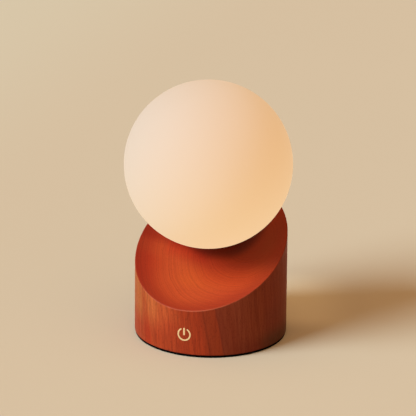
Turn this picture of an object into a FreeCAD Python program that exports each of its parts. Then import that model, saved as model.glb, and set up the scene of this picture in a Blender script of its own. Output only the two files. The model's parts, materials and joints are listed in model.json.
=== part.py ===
import FreeCAD, Part
import math
import os

# Rechargeable table lamp: an opal glass globe on a wooden drum whose top is cut on a slant and dished.
# Millimetres. +Z is up, the touch sign and the low side of the rim face -Y, and the origin is the middle
# of the face that the lamp rests on. Angles are in degrees.

Vector = FreeCAD.Vector
Rotation = FreeCAD.Rotation
Placement = FreeCAD.Placement

# Wooden base
base_radius = 50.0
rim_height = 60.0
slant = 29.5
rim_land = 0.6
rim_edge = 0.35
lower_edge = 0.5
dish_depth = 8.0
cavity_wall = 11.0
cavity_top = 29.0
rebate_wall = 3.2

# Foot pad
foot_thickness = 1.6
foot_inset = 0.5
foot_edge = 0.25
foot_screw_hole = 3.6
grip_groove_width = 1.2
grip_groove_depth = 0.35
grip_groove_shares = (0.24, 0.48, 0.72)

# Bottom plate
plate_thickness = 2.8
plate_gap = 0.3
spigot_wall = 1.4
spigot_height = 2.0
plate_rib = 1.2
plate_screw_inset = 7.0
plate_screw_count = 4

# Touch sensor and the sign that marks it
sign_height = 16.0
sign_turn = 2.5
sensor_side = 14.0
sensor_thickness = 1.0
sensor_margin = 1.5
sensor_wall = 3.5

# Ballast and battery
ballast_margin = 3.0
ballast_thickness = 2.5
ballast_edge = 6.5
cell_radius = 9.2
cell_room = 6.5
cell_shift = -5.0
cell_cap = 6.0
cell_cap_step = 0.3
cradle_setback = 5.5
cradle_floor = 1.4
cradle_wall = 1.3
cradle_rise = 6.5
cradle_lip = 1.2
cradle_lip_rise = 4.0
cradle_lip_width = 12.0
cradle_gap = 0.15
cradle_rib = 1.2
cradle_rib_count = 6
cradle_screw_inset = 9.0
pad_width = 14.0
pad_length = 24.0

# Main board
board_width = 30.0
board_front_gap = 3.35
board_back_gap = 4.0
board_thickness = 1.6
board_rise = 4.4
tongue_width = 21.0
post_radius = 2.5
post_spacing_x = 24.0
post_front_inset = 3.0
post_back_inset = 2.5
socket_width = 6.0
socket_depth = 5.0
socket_height = 4.4
socket_spacing = 24.0
coil_side = 6.0
coil_height = 3.2
coil_core_radius = 2.0
coil_core_rise = 0.4
chip_length = 5.0
chip_width = 4.0
chip_height = 1.4
part_row_inset = 7.0
part_spacing = 10.0
capacitor_radius = 2.2
capacitor_height = 5.0
small_part_length = 2.0
small_part_width = 1.2
small_part_height = 0.8
small_part_spacing = 2.6
small_part_count = 5
small_part_inset = 4.5

# Charging inlet
inlet_width = 8.94
inlet_height = 3.26
inlet_length = 7.2
inlet_wall = 0.3
inlet_recess = 1.4
inlet_tongue_width = 6.65
inlet_tongue_thickness = 0.7
inlet_tongue_recess = 0.9
inlet_block = 1.4
inlet_leg_width = 1.0
inlet_leg_reach = 0.4
inlet_leg_first = 1.2
inlet_leg_spacing = 2.2
port_wall = 3.5
port_pocket_width = 23.0
port_pocket_top = 17.0
bezel_width = 12.0
bezel_height = 6.4
bezel_lip = 0.8
bezel_lip_depth = 1.2
bezel_recess = 0.1
bezel_gap = 0.15
light_radius = 1.0
light_shift = 8.8
light_reach = 2.4

# Globe
globe_radius = 55.0
globe_wall = 2.2
globe_sink = 1.6
neck_shift = 23.3
neck_radius = 12.8
neck_round = 0.8

# Twist-lock holder, collar and their seat in the dish
pocket_sink = 9.4
pocket_gap = 0.3
holder_radius = 17.0
holder_wall = 1.4
holder_floor = 1.6
holder_edge = 0.4
lock_count = 3
lug_arc = 27.0
lug_gap = 1.5
stop_arc = 5.0
run_gap = 0.3
lug_thickness = 1.6
lug_rise = 1.0
tab_thickness = 1.4
entry_bevel = 0.6
collar_wall = 1.1
collar_lip = 0.8
collar_edge = 0.4
collar_top_gap = 1.0
bond_gap = 0.1
gasket_thickness = 0.5
gasket_width = 2.4
gasket_run_gap = 0.3
holder_screw_circle = 12.6
holder_screw_count = 3

# Light source
slug_radius = 9.4
slug_height = 6.6
slug_groove_depth = 1.2
slug_groove_width = 0.8
slug_groove_first = 0.9
slug_groove_pitch = 1.5
slug_groove_count = 2
slug_spigot_radius = 3.0
slug_spigot_gap = 0.1
led_board_radius = 8.8
led_board_thickness = 1.0
led_length = 3.2
led_width = 2.6
led_height = 0.7
led_circle = 4.8
led_count = 6
led_screw_spacing = 14.2
dome_radius = 10.0
dome_wall = 1.0
dome_skirt = 4.0
dome_overlap = 2.4
dome_fit = 0.1

# Leads and the bore that the light's lead climbs
bore_radius = 4.0
led_lead_radius = 1.0
led_lead_bend_radius = 8.0
lead_hole_gap = 0.6
supply_lead_radius = 0.8
supply_lead_bend_radius = 2.4
supply_lead_offset = 3.0
supply_lead_reach = 3.6
supply_lead_margin = 1.8
supply_lead_angles = (158, 140)
sensor_lead_radius = 0.7
sensor_lead_bend_radius = 4.0
sensor_lead_setback = 1.5
sensor_lead_drop = 3.5
sensor_lead_margin = 1.4
sensor_lead_angles = (-68, -46, -24, -2, 20)
sensor_lead_last_angle = 38
socket_lead_reach = 6.0

# Screws
plate_screw_radius = 1.5
plate_screw_head = 2.9
plate_screw_length = 12.0
small_screw_radius = 1.1
small_screw_head = 2.1
board_screw_length = 5.0
cradle_screw_length = 6.0
holder_screw_length = 9.0
led_screw_radius = 0.8
led_screw_head = 1.5
led_screw_length = 4.0
head_rise_share = 0.55
recess_depth_share = 0.6
recess_width_share = 0.22
recess_span_share = 1.3
screw_gap = 0.05

# How far a cutter runs past what it cuts, and half the angle that the dish's patch of a ball spans
overrun = 2.0
dish_spread = 22.0
quarter_turn = 90

# Places worked out from the sizes above
slant_cos = math.cos(math.radians(slant))
slant_sin = math.sin(math.radians(slant))
rim_centre = Vector(0, 0, rim_height)
up_slope = Vector(0, slant_cos, slant_sin)
neck_axis = Vector(0, -slant_sin, slant_cos)
tilt = Rotation(Vector(1, 0, 0), slant)
pocket_centre = rim_centre + up_slope * neck_shift - neck_axis * pocket_sink
globe_rise = globe_radius - globe_sink + pocket_sink
rim_frame = Placement(rim_centre, tilt)
neck_frame = Placement(pocket_centre, tilt)
sign_frame = Placement(Vector(0, 0, 0), Rotation(Vector(0, 0, 1), sign_turn))
cavity_radius = base_radius - cavity_wall
rebate_radius = base_radius - rebate_wall
plate_screw_circle = base_radius - plate_screw_inset
plate_top = foot_thickness + plate_thickness
ballast_radius = cavity_radius - ballast_margin
cell_length = 2 * (cavity_radius - cell_room)
cradle_length = cell_length - 2 * cradle_setback
cradle_screw_spacing = cradle_length - 2 * cradle_screw_inset
cradle_seat_radius = cell_radius + cradle_gap
cradle_width = 2 * (cradle_seat_radius + cradle_wall)
board_front = cell_shift + cradle_width / 2 + board_front_gap
board_back = cavity_radius - board_back_gap
post_front = board_front + post_front_inset
post_back = board_back - post_back_inset
part_row = board_front + part_row_inset
side_socket_y = (post_front + post_back) / 2
supply_lead_circle = cavity_radius - supply_lead_margin
sensor_lead_circle = cavity_radius - sensor_lead_margin
ballast_top = plate_top + ballast_thickness
cradle_top = ballast_top + cradle_floor
cell_height = cradle_top + cradle_gap + cell_radius
board_bottom = plate_top + board_rise
board_top = board_bottom + board_thickness
inlet_z = board_top + inlet_height / 2
port_face = base_radius - port_wall
sensor_face = base_radius - sensor_wall
inlet_mouth = base_radius - inlet_recess
inlet_back = inlet_mouth - inlet_length
bore_y = pocket_centre.y
slug_top = holder_floor + slug_height
led_top = slug_top + led_board_thickness
dome_seat = slug_top - dome_overlap
dome_bore = dome_radius - dome_wall
socket_mouth = (socket_spacing + socket_depth) / 2
socket_z = board_top + socket_height / 2
collar_bottom = holder_floor + gasket_thickness + gasket_run_gap
lug_bottom = collar_bottom + lug_rise
lug_top = lug_bottom + lug_thickness
tab_bottom = lug_top + run_gap
holder_top = tab_bottom + tab_thickness
neck_bottom = collar_bottom + collar_lip + bond_gap
collar_bore = neck_radius + bond_gap
collar_radius = collar_bore + collar_wall
lug_radius = holder_radius - holder_wall - run_gap
tab_bore = collar_radius + run_gap


def disc(radius, bottom, height, x=0.0, y=0.0):
    return Part.makeCylinder(radius, height, Vector(x, y, bottom))


def ring(inner, outer, bottom, height):
    return disc(outer, bottom, height).cut(disc(inner, bottom, height))


def block(width, depth, height, x, y, bottom):
    """Upright block centred on x and y."""
    return Part.makeBox(width, depth, height, Vector(x - width / 2, y - depth / 2, bottom))


def turned(outline):
    """Solid of revolution about Z from its (radius, height) corners."""
    corners = [Vector(radius, 0, height) for radius, height in outline]
    face = Part.Face(Part.makePolygon(corners + corners[:1]))
    return face.revolve(Vector(0, 0, 0), Vector(0, 0, 1), 360)


def sector(inner, outer, bottom, height, start, arc):
    """Part of a ring that starts at one angle and runs on by arc."""
    corners = [Vector(inner, 0, bottom), Vector(outer, 0, bottom)]
    corners += [Vector(outer, 0, bottom + height), Vector(inner, 0, bottom + height)]
    face = Part.Face(Part.makePolygon(corners + corners[:1]))
    face.rotate(Vector(0, 0, 0), Vector(0, 0, 1), start)
    return face.revolve(Vector(0, 0, 0), Vector(0, 0, 1), arc)


def obround(width, height, start, end, z):
    """Bar along Y, with half-round sides, from y = start to y = end."""
    half = height / 2
    reach = width / 2 - half
    top_left = Vector(-reach, start, z + half)
    top_right = Vector(reach, start, z + half)
    low_right = Vector(reach, start, z - half)
    low_left = Vector(-reach, start, z - half)
    top = Part.LineSegment(top_left, top_right)
    right = Part.Arc(top_right, Vector(reach + half, start, z), low_right)
    low = Part.LineSegment(low_right, low_left)
    left = Part.Arc(low_left, Vector(-reach - half, start, z), top_left)
    outline = Part.Wire([piece.toShape() for piece in (top, right, low, left)])
    return Part.Face(outline).extrude(Vector(0, end - start, 0))


def around(shape, count, first=0.0):
    """Copies of a shape, evenly spaced about Z."""
    copies = []
    for index in range(count):
        copy = shape.copy()
        copy.rotate(Vector(0, 0, 0), Vector(0, 0, 1), first + index * 360 / count)
        copies.append(copy)
    return copies


def at(shape, frame):
    placed = shape.copy()
    placed.Placement = frame.multiply(placed.Placement)
    return placed


def moved(shape, x, y, z):
    return at(shape, Placement(Vector(x, y, z), Rotation()))


def bevelled(shape, place, size):
    """Shape with a 45 degree bevel on the edge whose middle is nearest to a place."""
    nearest = min(shape.Edges, key=lambda edge: edge.CenterOfMass.distanceToPoint(place))
    return shape.makeChamfer(size, [nearest])


def polar(radius, angle, z):
    return Vector(radius * math.cos(math.radians(angle)), radius * math.sin(math.radians(angle)), z)


def screw(radius, head, length):
    """Countersunk screw that points down, with a cross recess in its head at z = 0."""
    rise = head * head_rise_share
    body = turned([(0, 0), (head, 0), (radius, -rise), (radius, -length + radius), (0, -length)])
    depth = rise * recess_depth_share
    for width, span in ((recess_width_share, recess_span_share), (recess_span_share, recess_width_share)):
        body = body.cut(block(head * width, head * span, depth, 0, 0, -depth))
    return body


def screw_hole(radius, head, length):
    """Room for a screw, open upwards past its head."""
    rise = head * head_rise_share
    wide = head + screw_gap
    narrow = radius + screw_gap
    outline = [(0, overrun), (wide, overrun), (wide, 0), (narrow, -rise), (narrow, -length), (0, -length)]
    return turned(outline)


def upside_down(shape, x, y, z):
    """A piece made for screwing downwards, turned to be driven up from z."""
    return at(shape, Placement(Vector(x, y, z), Rotation(Vector(1, 0, 0), 180)))


def lead(points, radius, bend):
    """Round lead along straight runs that are joined by arcs of one radius."""
    edges = []
    start = points[0]
    for before, corner, after in zip(points, points[1:], points[2:]):
        into = (corner - before).normalize()
        out = (after - corner).normalize()
        half_turn = into.getAngle(out) / 2
        trim = bend * math.tan(half_turn)
        inside = (out - into).normalize()
        arc_start = corner - into * trim
        arc_middle = corner + inside * bend * (1 / math.cos(half_turn) - 1)
        arc_end = corner + out * trim
        edges.append(Part.LineSegment(start, arc_start).toShape())
        edges.append(Part.Arc(arc_start, arc_middle, arc_end).toShape())
        start = arc_end
    edges.append(Part.LineSegment(start, points[-1]).toShape())
    path = Part.Wire(edges)
    section = Part.Wire(Part.makeCircle(radius, points[0], points[1] - points[0]))
    tube = path.makePipeShell([section], True, False)
    print("lead volume over section times length", tube.Volume / (math.pi * radius ** 2 * path.Length))
    return tube


def save(name, *pieces):
    shape = pieces[0] if len(pieces) == 1 else Part.makeCompound(list(pieces))
    shape.exportStep("parts/" + name + ".step")


# Wooden base: a turned drum, cut on the slant, with a rounded rim and a shallow elliptical dish

def drum():
    top = rim_height + base_radius * slant_sin / slant_cos + overrun
    body = disc(base_radius, foot_thickness, top - foot_thickness)
    across = 2 * base_radius / slant_cos + 2 * overrun
    above = block(across, across, across, 0, 0, 0)
    body = body.cut(at(above, rim_frame))
    lowest = min(body.Edges, key=lambda edge: edge.BoundBox.ZMax)
    body = body.makeFillet(lower_edge, [lowest])
    rim = max(body.Edges, key=rim_reach)
    return body.makeFillet(rim_edge, [rim])


def rim_reach(edge):
    """The rim is the edge that reaches both highest and across the whole drum."""
    return edge.BoundBox.ZMax + edge.BoundBox.XLength


def dish():
    """Ball cap, stretched along the slope so that its edge keeps one distance from the drum's side."""
    reach = base_radius - rim_land
    ball_radius = (reach ** 2 + dish_depth ** 2) / (2 * dish_depth)
    middle = Vector(0, 0, 0)
    ball = Part.makeSphere(ball_radius, middle, Vector(0, 0, 1), -dish_spread, dish_spread, 2 * dish_spread)
    ball.rotate(middle, Vector(0, 0, 1), -dish_spread)
    ball.rotate(middle, Vector(0, 1, 0), quarter_turn)
    stretch = FreeCAD.Matrix()
    stretch.scale(1, 1 / slant_cos, 1)
    bowl = ball.transformGeometry(stretch)
    bowl.translate(Vector(0, 0, ball_radius - dish_depth))
    return at(bowl, rim_frame)


def base_body():
    body = drum().cut(dish())
    body = body.cut(at(disc(holder_radius + pocket_gap, 0, globe_rise), neck_frame))
    body = body.cut(disc(cavity_radius, foot_thickness, cavity_top - foot_thickness))
    body = body.cut(disc(rebate_radius, foot_thickness - overrun, plate_thickness + overrun))
    port_pocket_depth = port_face - cavity_radius + overrun
    port_y = port_face - port_pocket_depth / 2
    port_rise = port_pocket_top - foot_thickness
    body = body.cut(block(port_pocket_width, port_pocket_depth, port_rise, 0, port_y, foot_thickness))
    sensor_pocket_width = sensor_side + 2 * sensor_margin
    sensor_pocket_depth = sensor_face - cavity_radius + overrun
    sensor_y = sensor_pocket_depth / 2 - sensor_face
    sensor_rise = sign_height + sensor_pocket_width / 2 - foot_thickness
    pocket = block(sensor_pocket_width, sensor_pocket_depth, sensor_rise, 0, sensor_y, foot_thickness)
    body = body.cut(at(pocket, sign_frame))
    bore_end = pocket_centre.z + bore_radius * slant_sin / slant_cos
    body = body.cut(disc(bore_radius, cavity_top - overrun, bore_end - cavity_top + overrun, 0, bore_y))
    wall_end = base_radius + overrun
    body = body.cut(obround(bezel_width, bezel_height, port_face - overrun, wall_end, inlet_z))
    lip_width = bezel_width + 2 * bezel_lip
    lip_height = bezel_height + 2 * bezel_lip
    body = body.cut(obround(lip_width, lip_height, base_radius - bezel_lip_depth, wall_end, inlet_z))
    light_way = Vector(light_shift, port_face - overrun, inlet_z)
    body = body.cut(Part.makeCylinder(light_radius, port_wall + 2 * overrun, light_way, Vector(0, 1, 0)))
    hole = upside_down(screw_hole(plate_screw_radius, plate_screw_head, plate_screw_length),
                       plate_screw_circle, 0, foot_thickness)
    for hole_copy in around(hole, plate_screw_count, 180 / plate_screw_count):
        body = body.cut(hole_copy)
    for hole_copy in around(holder_screw_hole(), holder_screw_count, quarter_turn):
        body = body.cut(at(hole_copy, neck_frame))
    return body


# Foot pad, bottom plate and their screws

def foot_pad():
    """Pad with rounded edges and round grip grooves in the face that it stands on."""
    reach = base_radius - foot_inset
    pad = disc(reach, 0, foot_thickness)
    pad = pad.makeFillet(foot_edge, [edge for edge in pad.Edges if edge.isClosed()])
    for reach_share in grip_groove_shares:
        inner = reach * reach_share
        pad = pad.cut(ring(inner, inner + grip_groove_width, 0, grip_groove_depth))
    hole = disc(foot_screw_hole, 0, foot_thickness, plate_screw_circle, 0)
    for hole_copy in around(hole, plate_screw_count, 180 / plate_screw_count):
        pad = pad.cut(hole_copy)
    return pad


def bottom_plate():
    """Plate with a spigot into the cavity, the board's posts and ribs that tie the two together."""
    spigot_radius = cavity_radius - plate_gap
    spigot_bore = spigot_radius - spigot_wall
    plate = disc(rebate_radius - plate_gap, foot_thickness, plate_thickness)
    plate = plate.fuse(ring(spigot_bore, spigot_radius, plate_top, spigot_height))
    for y in (post_front, post_back):
        reach = math.sqrt(spigot_bore ** 2 - y ** 2) + spigot_wall / 2
        plate = plate.fuse(block(2 * reach, plate_rib, spigot_height, 0, y, plate_top))
    run = post_back - post_front
    for side in (-1, 1):
        x = side * post_spacing_x / 2
        plate = plate.fuse(block(plate_rib, run, spigot_height, x, post_front + run / 2, plate_top))
    for x, y in post_places():
        plate = plate.fuse(disc(post_radius, plate_top, board_rise, x, y))
    hole = upside_down(screw_hole(plate_screw_radius, plate_screw_head, plate_screw_length),
                       plate_screw_circle, 0, foot_thickness)
    for hole_copy in around(hole, plate_screw_count, 180 / plate_screw_count):
        plate = plate.cut(hole_copy)
    for x, y in post_places():
        depth = board_screw_length - board_thickness
        plate = plate.cut(disc(small_screw_radius + screw_gap, board_bottom - depth, depth, x, y))
    for x in cradle_screw_places():
        depth = cradle_screw_length - cradle_floor - ballast_thickness
        plate = plate.cut(disc(small_screw_radius + screw_gap, plate_top - depth, depth, x, cell_shift))
    return plate.removeSplitter()


def plate_screws():
    one = screw(plate_screw_radius, plate_screw_head, plate_screw_length)
    return around(upside_down(one, plate_screw_circle, 0, foot_thickness),
                  plate_screw_count, 180 / plate_screw_count)


# Touch sensor behind the sign

def touch_sensor():
    y = sensor_thickness / 2 - sensor_face
    board = block(sensor_side, sensor_thickness, sensor_side, 0, y, sign_height - sensor_side / 2)
    return at(board, sign_frame)


# Ballast, battery and what holds it

def cradle_screw_places():
    return (-cradle_screw_spacing / 2, cradle_screw_spacing / 2)


def ballast_plate():
    plate = disc(ballast_radius, plate_top, ballast_thickness)
    beyond = ballast_radius - ballast_edge
    middle = ballast_edge + beyond / 2
    plate = plate.cut(block(2 * ballast_radius, beyond, ballast_thickness, 0, middle, plate_top))
    for x in cradle_screw_places():
        plate = plate.cut(disc(small_screw_radius + screw_gap, plate_top, ballast_thickness, x, cell_shift))
    return plate


def cell_bar(radius, start, end):
    return Part.makeCylinder(radius, end - start, Vector(start, cell_shift, cell_height), Vector(1, 0, 0))


def cradle_cores():
    """What the mould leaves out between the ribs, outside the wall that holds the cell."""
    pitch = (cradle_length - cradle_rib) / (cradle_rib_count - 1)
    cores = []
    for index in range(cradle_rib_count - 1):
        x = (index + 1) * pitch - (cradle_length - cradle_rib) / 2 - pitch / 2
        core = block(pitch - cradle_rib, cradle_width + overrun, cradle_rise, x, cell_shift, cradle_top)
        cores.append(core.cut(cell_bar(cradle_seat_radius + cradle_wall, -cradle_length, cradle_length)))
    return cores


def battery_cradle():
    rise = cradle_floor + cradle_rise
    trough = block(cradle_length, cradle_width, rise, 0, cell_shift, ballast_top)
    for core in cradle_cores():
        trough = trough.cut(core)
    lip_face = cell_length / 2 + cradle_gap
    strip_length = 2 * (lip_face + cradle_lip)
    strip_rise = cradle_floor + cradle_lip_rise
    strip = block(strip_length, cradle_lip_width, strip_rise, 0, cell_shift, ballast_top)
    trough = trough.fuse(strip).cut(cell_bar(cradle_seat_radius, -lip_face, lip_face))
    for x in cradle_screw_places():
        hole = screw_hole(small_screw_radius, small_screw_head, cradle_screw_length)
        trough = trough.cut(moved(hole, x, cell_shift, cradle_top))
    return trough.removeSplitter()


def battery_cell():
    """Wrapped cell with a narrower cap at the end that its lead leaves."""
    half = cell_length / 2
    cell = cell_bar(cell_radius, cell_cap - half, half)
    return cell.fuse(cell_bar(cell_radius - cell_cap_step, -half, cell_cap - half))


def battery_pad():
    """Foam block between the cell and the top of the cavity, hollowed to the cell."""
    pad = block(pad_length, pad_width, cavity_top - cell_height, 0, cell_shift, cell_height)
    return pad.cut(cell_bar(cell_radius, -pad_length, pad_length))


def cradle_screws():
    one = screw(small_screw_radius, small_screw_head, cradle_screw_length)
    return [moved(one, x, cell_shift, cradle_top) for x in cradle_screw_places()]


# Main board with its parts

def post_places():
    return [(side * post_spacing_x / 2, y) for side in (-1, 1) for y in (post_front, post_back)]


def board_screw_rise():
    return small_screw_head * head_rise_share


def main_board():
    depth = board_back - board_front
    board = block(board_width, depth, board_thickness, 0, board_front + depth / 2, board_bottom)
    reach = port_face - plate_gap - board_back
    tongue = block(tongue_width, reach, board_thickness, 0, board_back + reach / 2, board_bottom)
    board = board.fuse(tongue).removeSplitter()
    for x, y in post_places():
        board = board.cut(disc(small_screw_radius + screw_gap, board_bottom, board_thickness, x, y))
    for slot in inlet_legs(screw_gap):
        board = board.cut(slot)
    return board


def board_screws():
    rise = board_screw_rise()
    one = screw(small_screw_radius, small_screw_head, board_screw_length + rise)
    return [moved(one, x, y, board_top + rise) for x, y in post_places()]


def board_parts():
    coil = block(coil_side, coil_side, coil_height, -part_spacing / 2, part_row, board_top)
    core = disc(coil_core_radius, board_top + coil_height, coil_core_rise, -part_spacing / 2, part_row)
    chip = block(chip_length, chip_width, chip_height, part_spacing / 2, part_row, board_top)
    capacitor = disc(capacitor_radius, board_top, capacitor_height, 0, board_front + capacitor_radius)
    parts = [coil.fuse(core), chip, capacitor]
    row = board_back - small_part_inset
    for index in range(small_part_count):
        x = (index - (small_part_count - 1) / 2) * small_part_spacing
        parts.append(block(small_part_width, small_part_length, small_part_height, x, row, board_top))
    return parts


def lead_sockets():
    """Top-entry socket under the bore and two that open towards the sides."""
    sockets = [block(socket_width, socket_depth, socket_height, 0, bore_y, board_top)]
    for side in (-1, 1):
        x = side * socket_spacing / 2
        sockets.append(block(socket_depth, socket_width, socket_height, x, side_socket_y, board_top))
    return sockets


def charge_light():
    """Side-looking lamp on the board, in line with the light pipe."""
    y = port_face - light_reach - light_radius
    rise = inlet_z + light_radius - board_top
    return block(2 * light_radius, 2 * light_radius, rise, light_shift, y, board_top)


def light_pipe():
    start = Vector(light_shift, port_face - light_reach, inlet_z)
    pipe = Part.makeCylinder(light_radius, port_wall + light_reach, start, Vector(0, 1, 0))
    return pipe.common(disc(base_radius - bezel_recess, 0, rim_height))


# Charging inlet

def inlet_legs(gap):
    """Four legs that reach through the board, or with a gap the slots that they stand in."""
    legs = []
    low = board_bottom - inlet_leg_reach - gap
    for side in (-1, 1):
        x = side * (inlet_width - inlet_wall) / 2
        for along in (inlet_leg_first, inlet_leg_first + inlet_leg_spacing):
            y = inlet_back + along
            legs.append(block(inlet_wall + 2 * gap, inlet_leg_width + 2 * gap, inlet_z - low, x, y, low))
    return legs


def inlet_shell():
    shell = obround(inlet_width, inlet_height, inlet_back, inlet_mouth, inlet_z)
    for leg in inlet_legs(0):
        shell = shell.fuse(leg)
    width = inlet_width - 2 * inlet_wall
    height = inlet_height - 2 * inlet_wall
    return shell.cut(obround(width, height, inlet_back, inlet_mouth, inlet_z)).removeSplitter()


def inlet_tongue():
    width = inlet_width - 2 * inlet_wall
    height = inlet_height - 2 * inlet_wall
    back = obround(width, height, inlet_back, inlet_back + inlet_block, inlet_z)
    reach = inlet_mouth - inlet_tongue_recess - inlet_back
    low = inlet_z - inlet_tongue_thickness / 2
    blade = block(inlet_tongue_width, reach, inlet_tongue_thickness, 0, inlet_back + reach / 2, low)
    return back.fuse(blade).removeSplitter()


def inlet_bezel():
    """Moulded sleeve through the wall, with a lip that lies flush in the curved side."""
    wall_end = base_radius + overrun
    sleeve = obround(bezel_width, bezel_height, port_face, wall_end, inlet_z)
    lip_width = bezel_width + 2 * bezel_lip
    lip_height = bezel_height + 2 * bezel_lip
    lip = obround(lip_width, lip_height, base_radius - bezel_lip_depth, wall_end, inlet_z)
    sleeve = sleeve.fuse(lip)
    width = inlet_width + 2 * bezel_gap
    height = inlet_height + 2 * bezel_gap
    sleeve = sleeve.cut(obround(width, height, port_face - overrun, wall_end, inlet_z))
    return sleeve.common(disc(base_radius - bezel_recess, 0, rim_height)).removeSplitter()


# Twist-lock holder: a cup with three inward tabs, three entry gaps and a stop at each end of the twist

def holder_screw_hole():
    hole = screw_hole(small_screw_radius, small_screw_head, holder_screw_length)
    return moved(hole, holder_screw_circle, 0, holder_floor)


def globe_holder():
    """A lug drops through an entry gap and turns by its own arc and two gaps to lie locked under a tab."""
    bore = holder_radius - holder_wall
    hole = slug_spigot_radius + slug_spigot_gap
    outline = [(hole, 0), (holder_radius, 0), (holder_radius, holder_top - holder_edge)]
    outline += [(holder_radius - holder_edge, holder_top), (bore, holder_top), (bore, holder_floor)]
    outline += [(hole, holder_floor)]
    cup = turned(outline)
    entry_arc = lug_arc + 2 * lug_gap
    tab_arc = 360 / lock_count - entry_arc
    tab = sector(tab_bore, bore, tab_bottom, tab_thickness, -tab_arc, tab_arc)
    tab = bevelled(tab, polar((tab_bore + bore) / 2, 0, tab_bottom), entry_bevel)
    stop_height = holder_top - holder_floor
    lock_stop = sector(tab_bore, bore, holder_floor, stop_height, -entry_arc - stop_arc, stop_arc)
    open_stop = sector(tab_bore, bore, holder_floor, stop_height, entry_arc, stop_arc)
    for piece in (tab, lock_stop, open_stop):
        for copy in around(piece, lock_count):
            cup = cup.fuse(copy)
    for hole_copy in around(holder_screw_hole(), holder_screw_count, quarter_turn):
        cup = cup.cut(hole_copy)
    return at(cup.removeSplitter(), neck_frame)


def holder_screws():
    one = screw(small_screw_radius, small_screw_head, holder_screw_length)
    one = moved(one, holder_screw_circle, 0, holder_floor)
    return [at(copy, neck_frame) for copy in around(one, holder_screw_count, quarter_turn)]


def neck_gasket():
    outer = collar_radius
    return at(ring(outer - gasket_width, outer, holder_floor, gasket_thickness), neck_frame)


# Light source on the holder

def led_slug():
    """Aluminium slug with a locating spigot, cooling grooves and a stepped top for the dome."""
    lead_hole = led_lead_radius + lead_hole_gap
    step_radius = dome_bore - dome_fit
    groove_radius = slug_radius - slug_groove_depth
    outline = [(lead_hole, 0), (slug_spigot_radius, 0), (slug_spigot_radius, holder_floor)]
    outline.append((slug_radius, holder_floor))
    for index in range(slug_groove_count):
        low = holder_floor + slug_groove_first + index * slug_groove_pitch
        high = low + slug_groove_width
        outline += [(slug_radius, low), (groove_radius, low), (groove_radius, high), (slug_radius, high)]
    outline += [(slug_radius, dome_seat), (step_radius, dome_seat), (step_radius, slug_top)]
    outline.append((lead_hole, slug_top))
    slug = turned(outline)
    depth = led_screw_length - led_board_thickness
    for side in (-1, 1):
        x = side * led_screw_spacing / 2
        slug = slug.cut(disc(led_screw_radius + screw_gap, slug_top - depth, depth, x, 0))
    return at(slug, neck_frame)


def led_board():
    board = disc(led_board_radius, slug_top, led_board_thickness)
    for side in (-1, 1):
        x = side * led_screw_spacing / 2
        board = board.cut(disc(led_screw_radius + screw_gap, slug_top, led_board_thickness, x, 0))
    return at(board, neck_frame)


def led_chips():
    chip = block(led_length, led_width, led_height, led_circle, 0, led_top)
    return [at(copy, neck_frame) for copy in around(chip, led_count, 180 / led_count)]


def led_screws():
    rise = led_screw_head * head_rise_share
    one = screw(led_screw_radius, led_screw_head, led_screw_length + rise)
    pair = [moved(one, side * led_screw_spacing / 2, 0, led_top + rise) for side in (-1, 1)]
    return [at(each, neck_frame) for each in pair]


def capped_bar(radius):
    """Upright bar with a half-ball top, which stands on the dome's seat."""
    spring = dome_seat + dome_skirt
    ball = Part.makeSphere(radius, Vector(0, 0, spring), Vector(0, 0, 1), 0, quarter_turn, 360)
    return disc(radius, dome_seat, dome_skirt).fuse(ball)


def light_dome():
    """Milky cap over the chips: a short skirt round the slug's step and a half ball."""
    dome = capped_bar(dome_radius).cut(capped_bar(dome_bore))
    return at(dome.removeSplitter(), neck_frame)


# Globe with its blown neck, and the collar bonded round it

def globe_shade():
    """Blown glass of one wall thickness: a ball that runs into a short neck through a small round."""
    centre = Vector(0, 0, globe_rise)
    round_x = neck_radius + neck_round
    round_z = globe_rise - math.sqrt((globe_radius + neck_round) ** 2 - round_x ** 2)
    round_centre = Vector(round_x, 0, round_z)
    towards_round = (round_centre - centre).normalize()
    towards_middle = (Vector(-1, 0, 0) - towards_round).normalize()
    tops = []
    feet = []
    edges = []
    for ball, bend in ((globe_radius, neck_round), (globe_radius - globe_wall, neck_round + globe_wall)):
        top = centre + Vector(0, 0, ball)
        side = centre + Vector(ball, 0, 0)
        meeting = centre + towards_round * ball
        neck = Vector(round_x - bend, 0, round_z)
        foot = Vector(round_x - bend, 0, neck_bottom)
        edges.append(Part.Arc(top, side, meeting).toShape())
        edges.append(Part.Arc(meeting, round_centre + towards_middle * bend, neck).toShape())
        edges.append(Part.LineSegment(neck, foot).toShape())
        tops.append(top)
        feet.append(foot)
    edges.append(Part.LineSegment(*tops).toShape())
    edges.append(Part.LineSegment(*feet).toShape())
    profile = Part.Face(Part.Wire(Part.sortEdges(edges)[0]))
    return at(profile.revolve(Vector(0, 0, 0), Vector(0, 0, 1), 360), neck_frame)


def globe_collar():
    """Ring with a lip under the glass and three lugs, shown locked, whose leading ends are bevelled."""
    top = globe_rise - math.sqrt(globe_radius ** 2 - collar_radius ** 2) - collar_top_gap
    lip_bore = neck_radius - globe_wall
    lip_top = collar_bottom + collar_lip
    outline = [(lip_bore, collar_bottom), (collar_radius, collar_bottom)]
    outline += [(collar_radius, top - collar_edge), (collar_radius - collar_edge, top), (collar_bore, top)]
    outline += [(collar_bore, lip_top), (lip_bore, lip_top)]
    collar = turned(outline)
    lug = sector(collar_bore, lug_radius, lug_bottom, lug_thickness, -lug_arc - lug_gap, lug_arc)
    leading = polar((collar_bore + lug_radius) / 2, -lug_arc - lug_gap, lug_top)
    lug = bevelled(lug, leading, entry_bevel)
    for copy in around(lug, lock_count):
        collar = collar.fuse(copy)
    return at(collar.removeSplitter(), neck_frame)


# Leads, each held from socket to end

def led_lead():
    start = Vector(0, bore_y, board_top + socket_height)
    end = pocket_centre + neck_axis * slug_top
    return lead([start, pocket_centre, end], led_lead_radius, led_lead_bend_radius)


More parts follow.
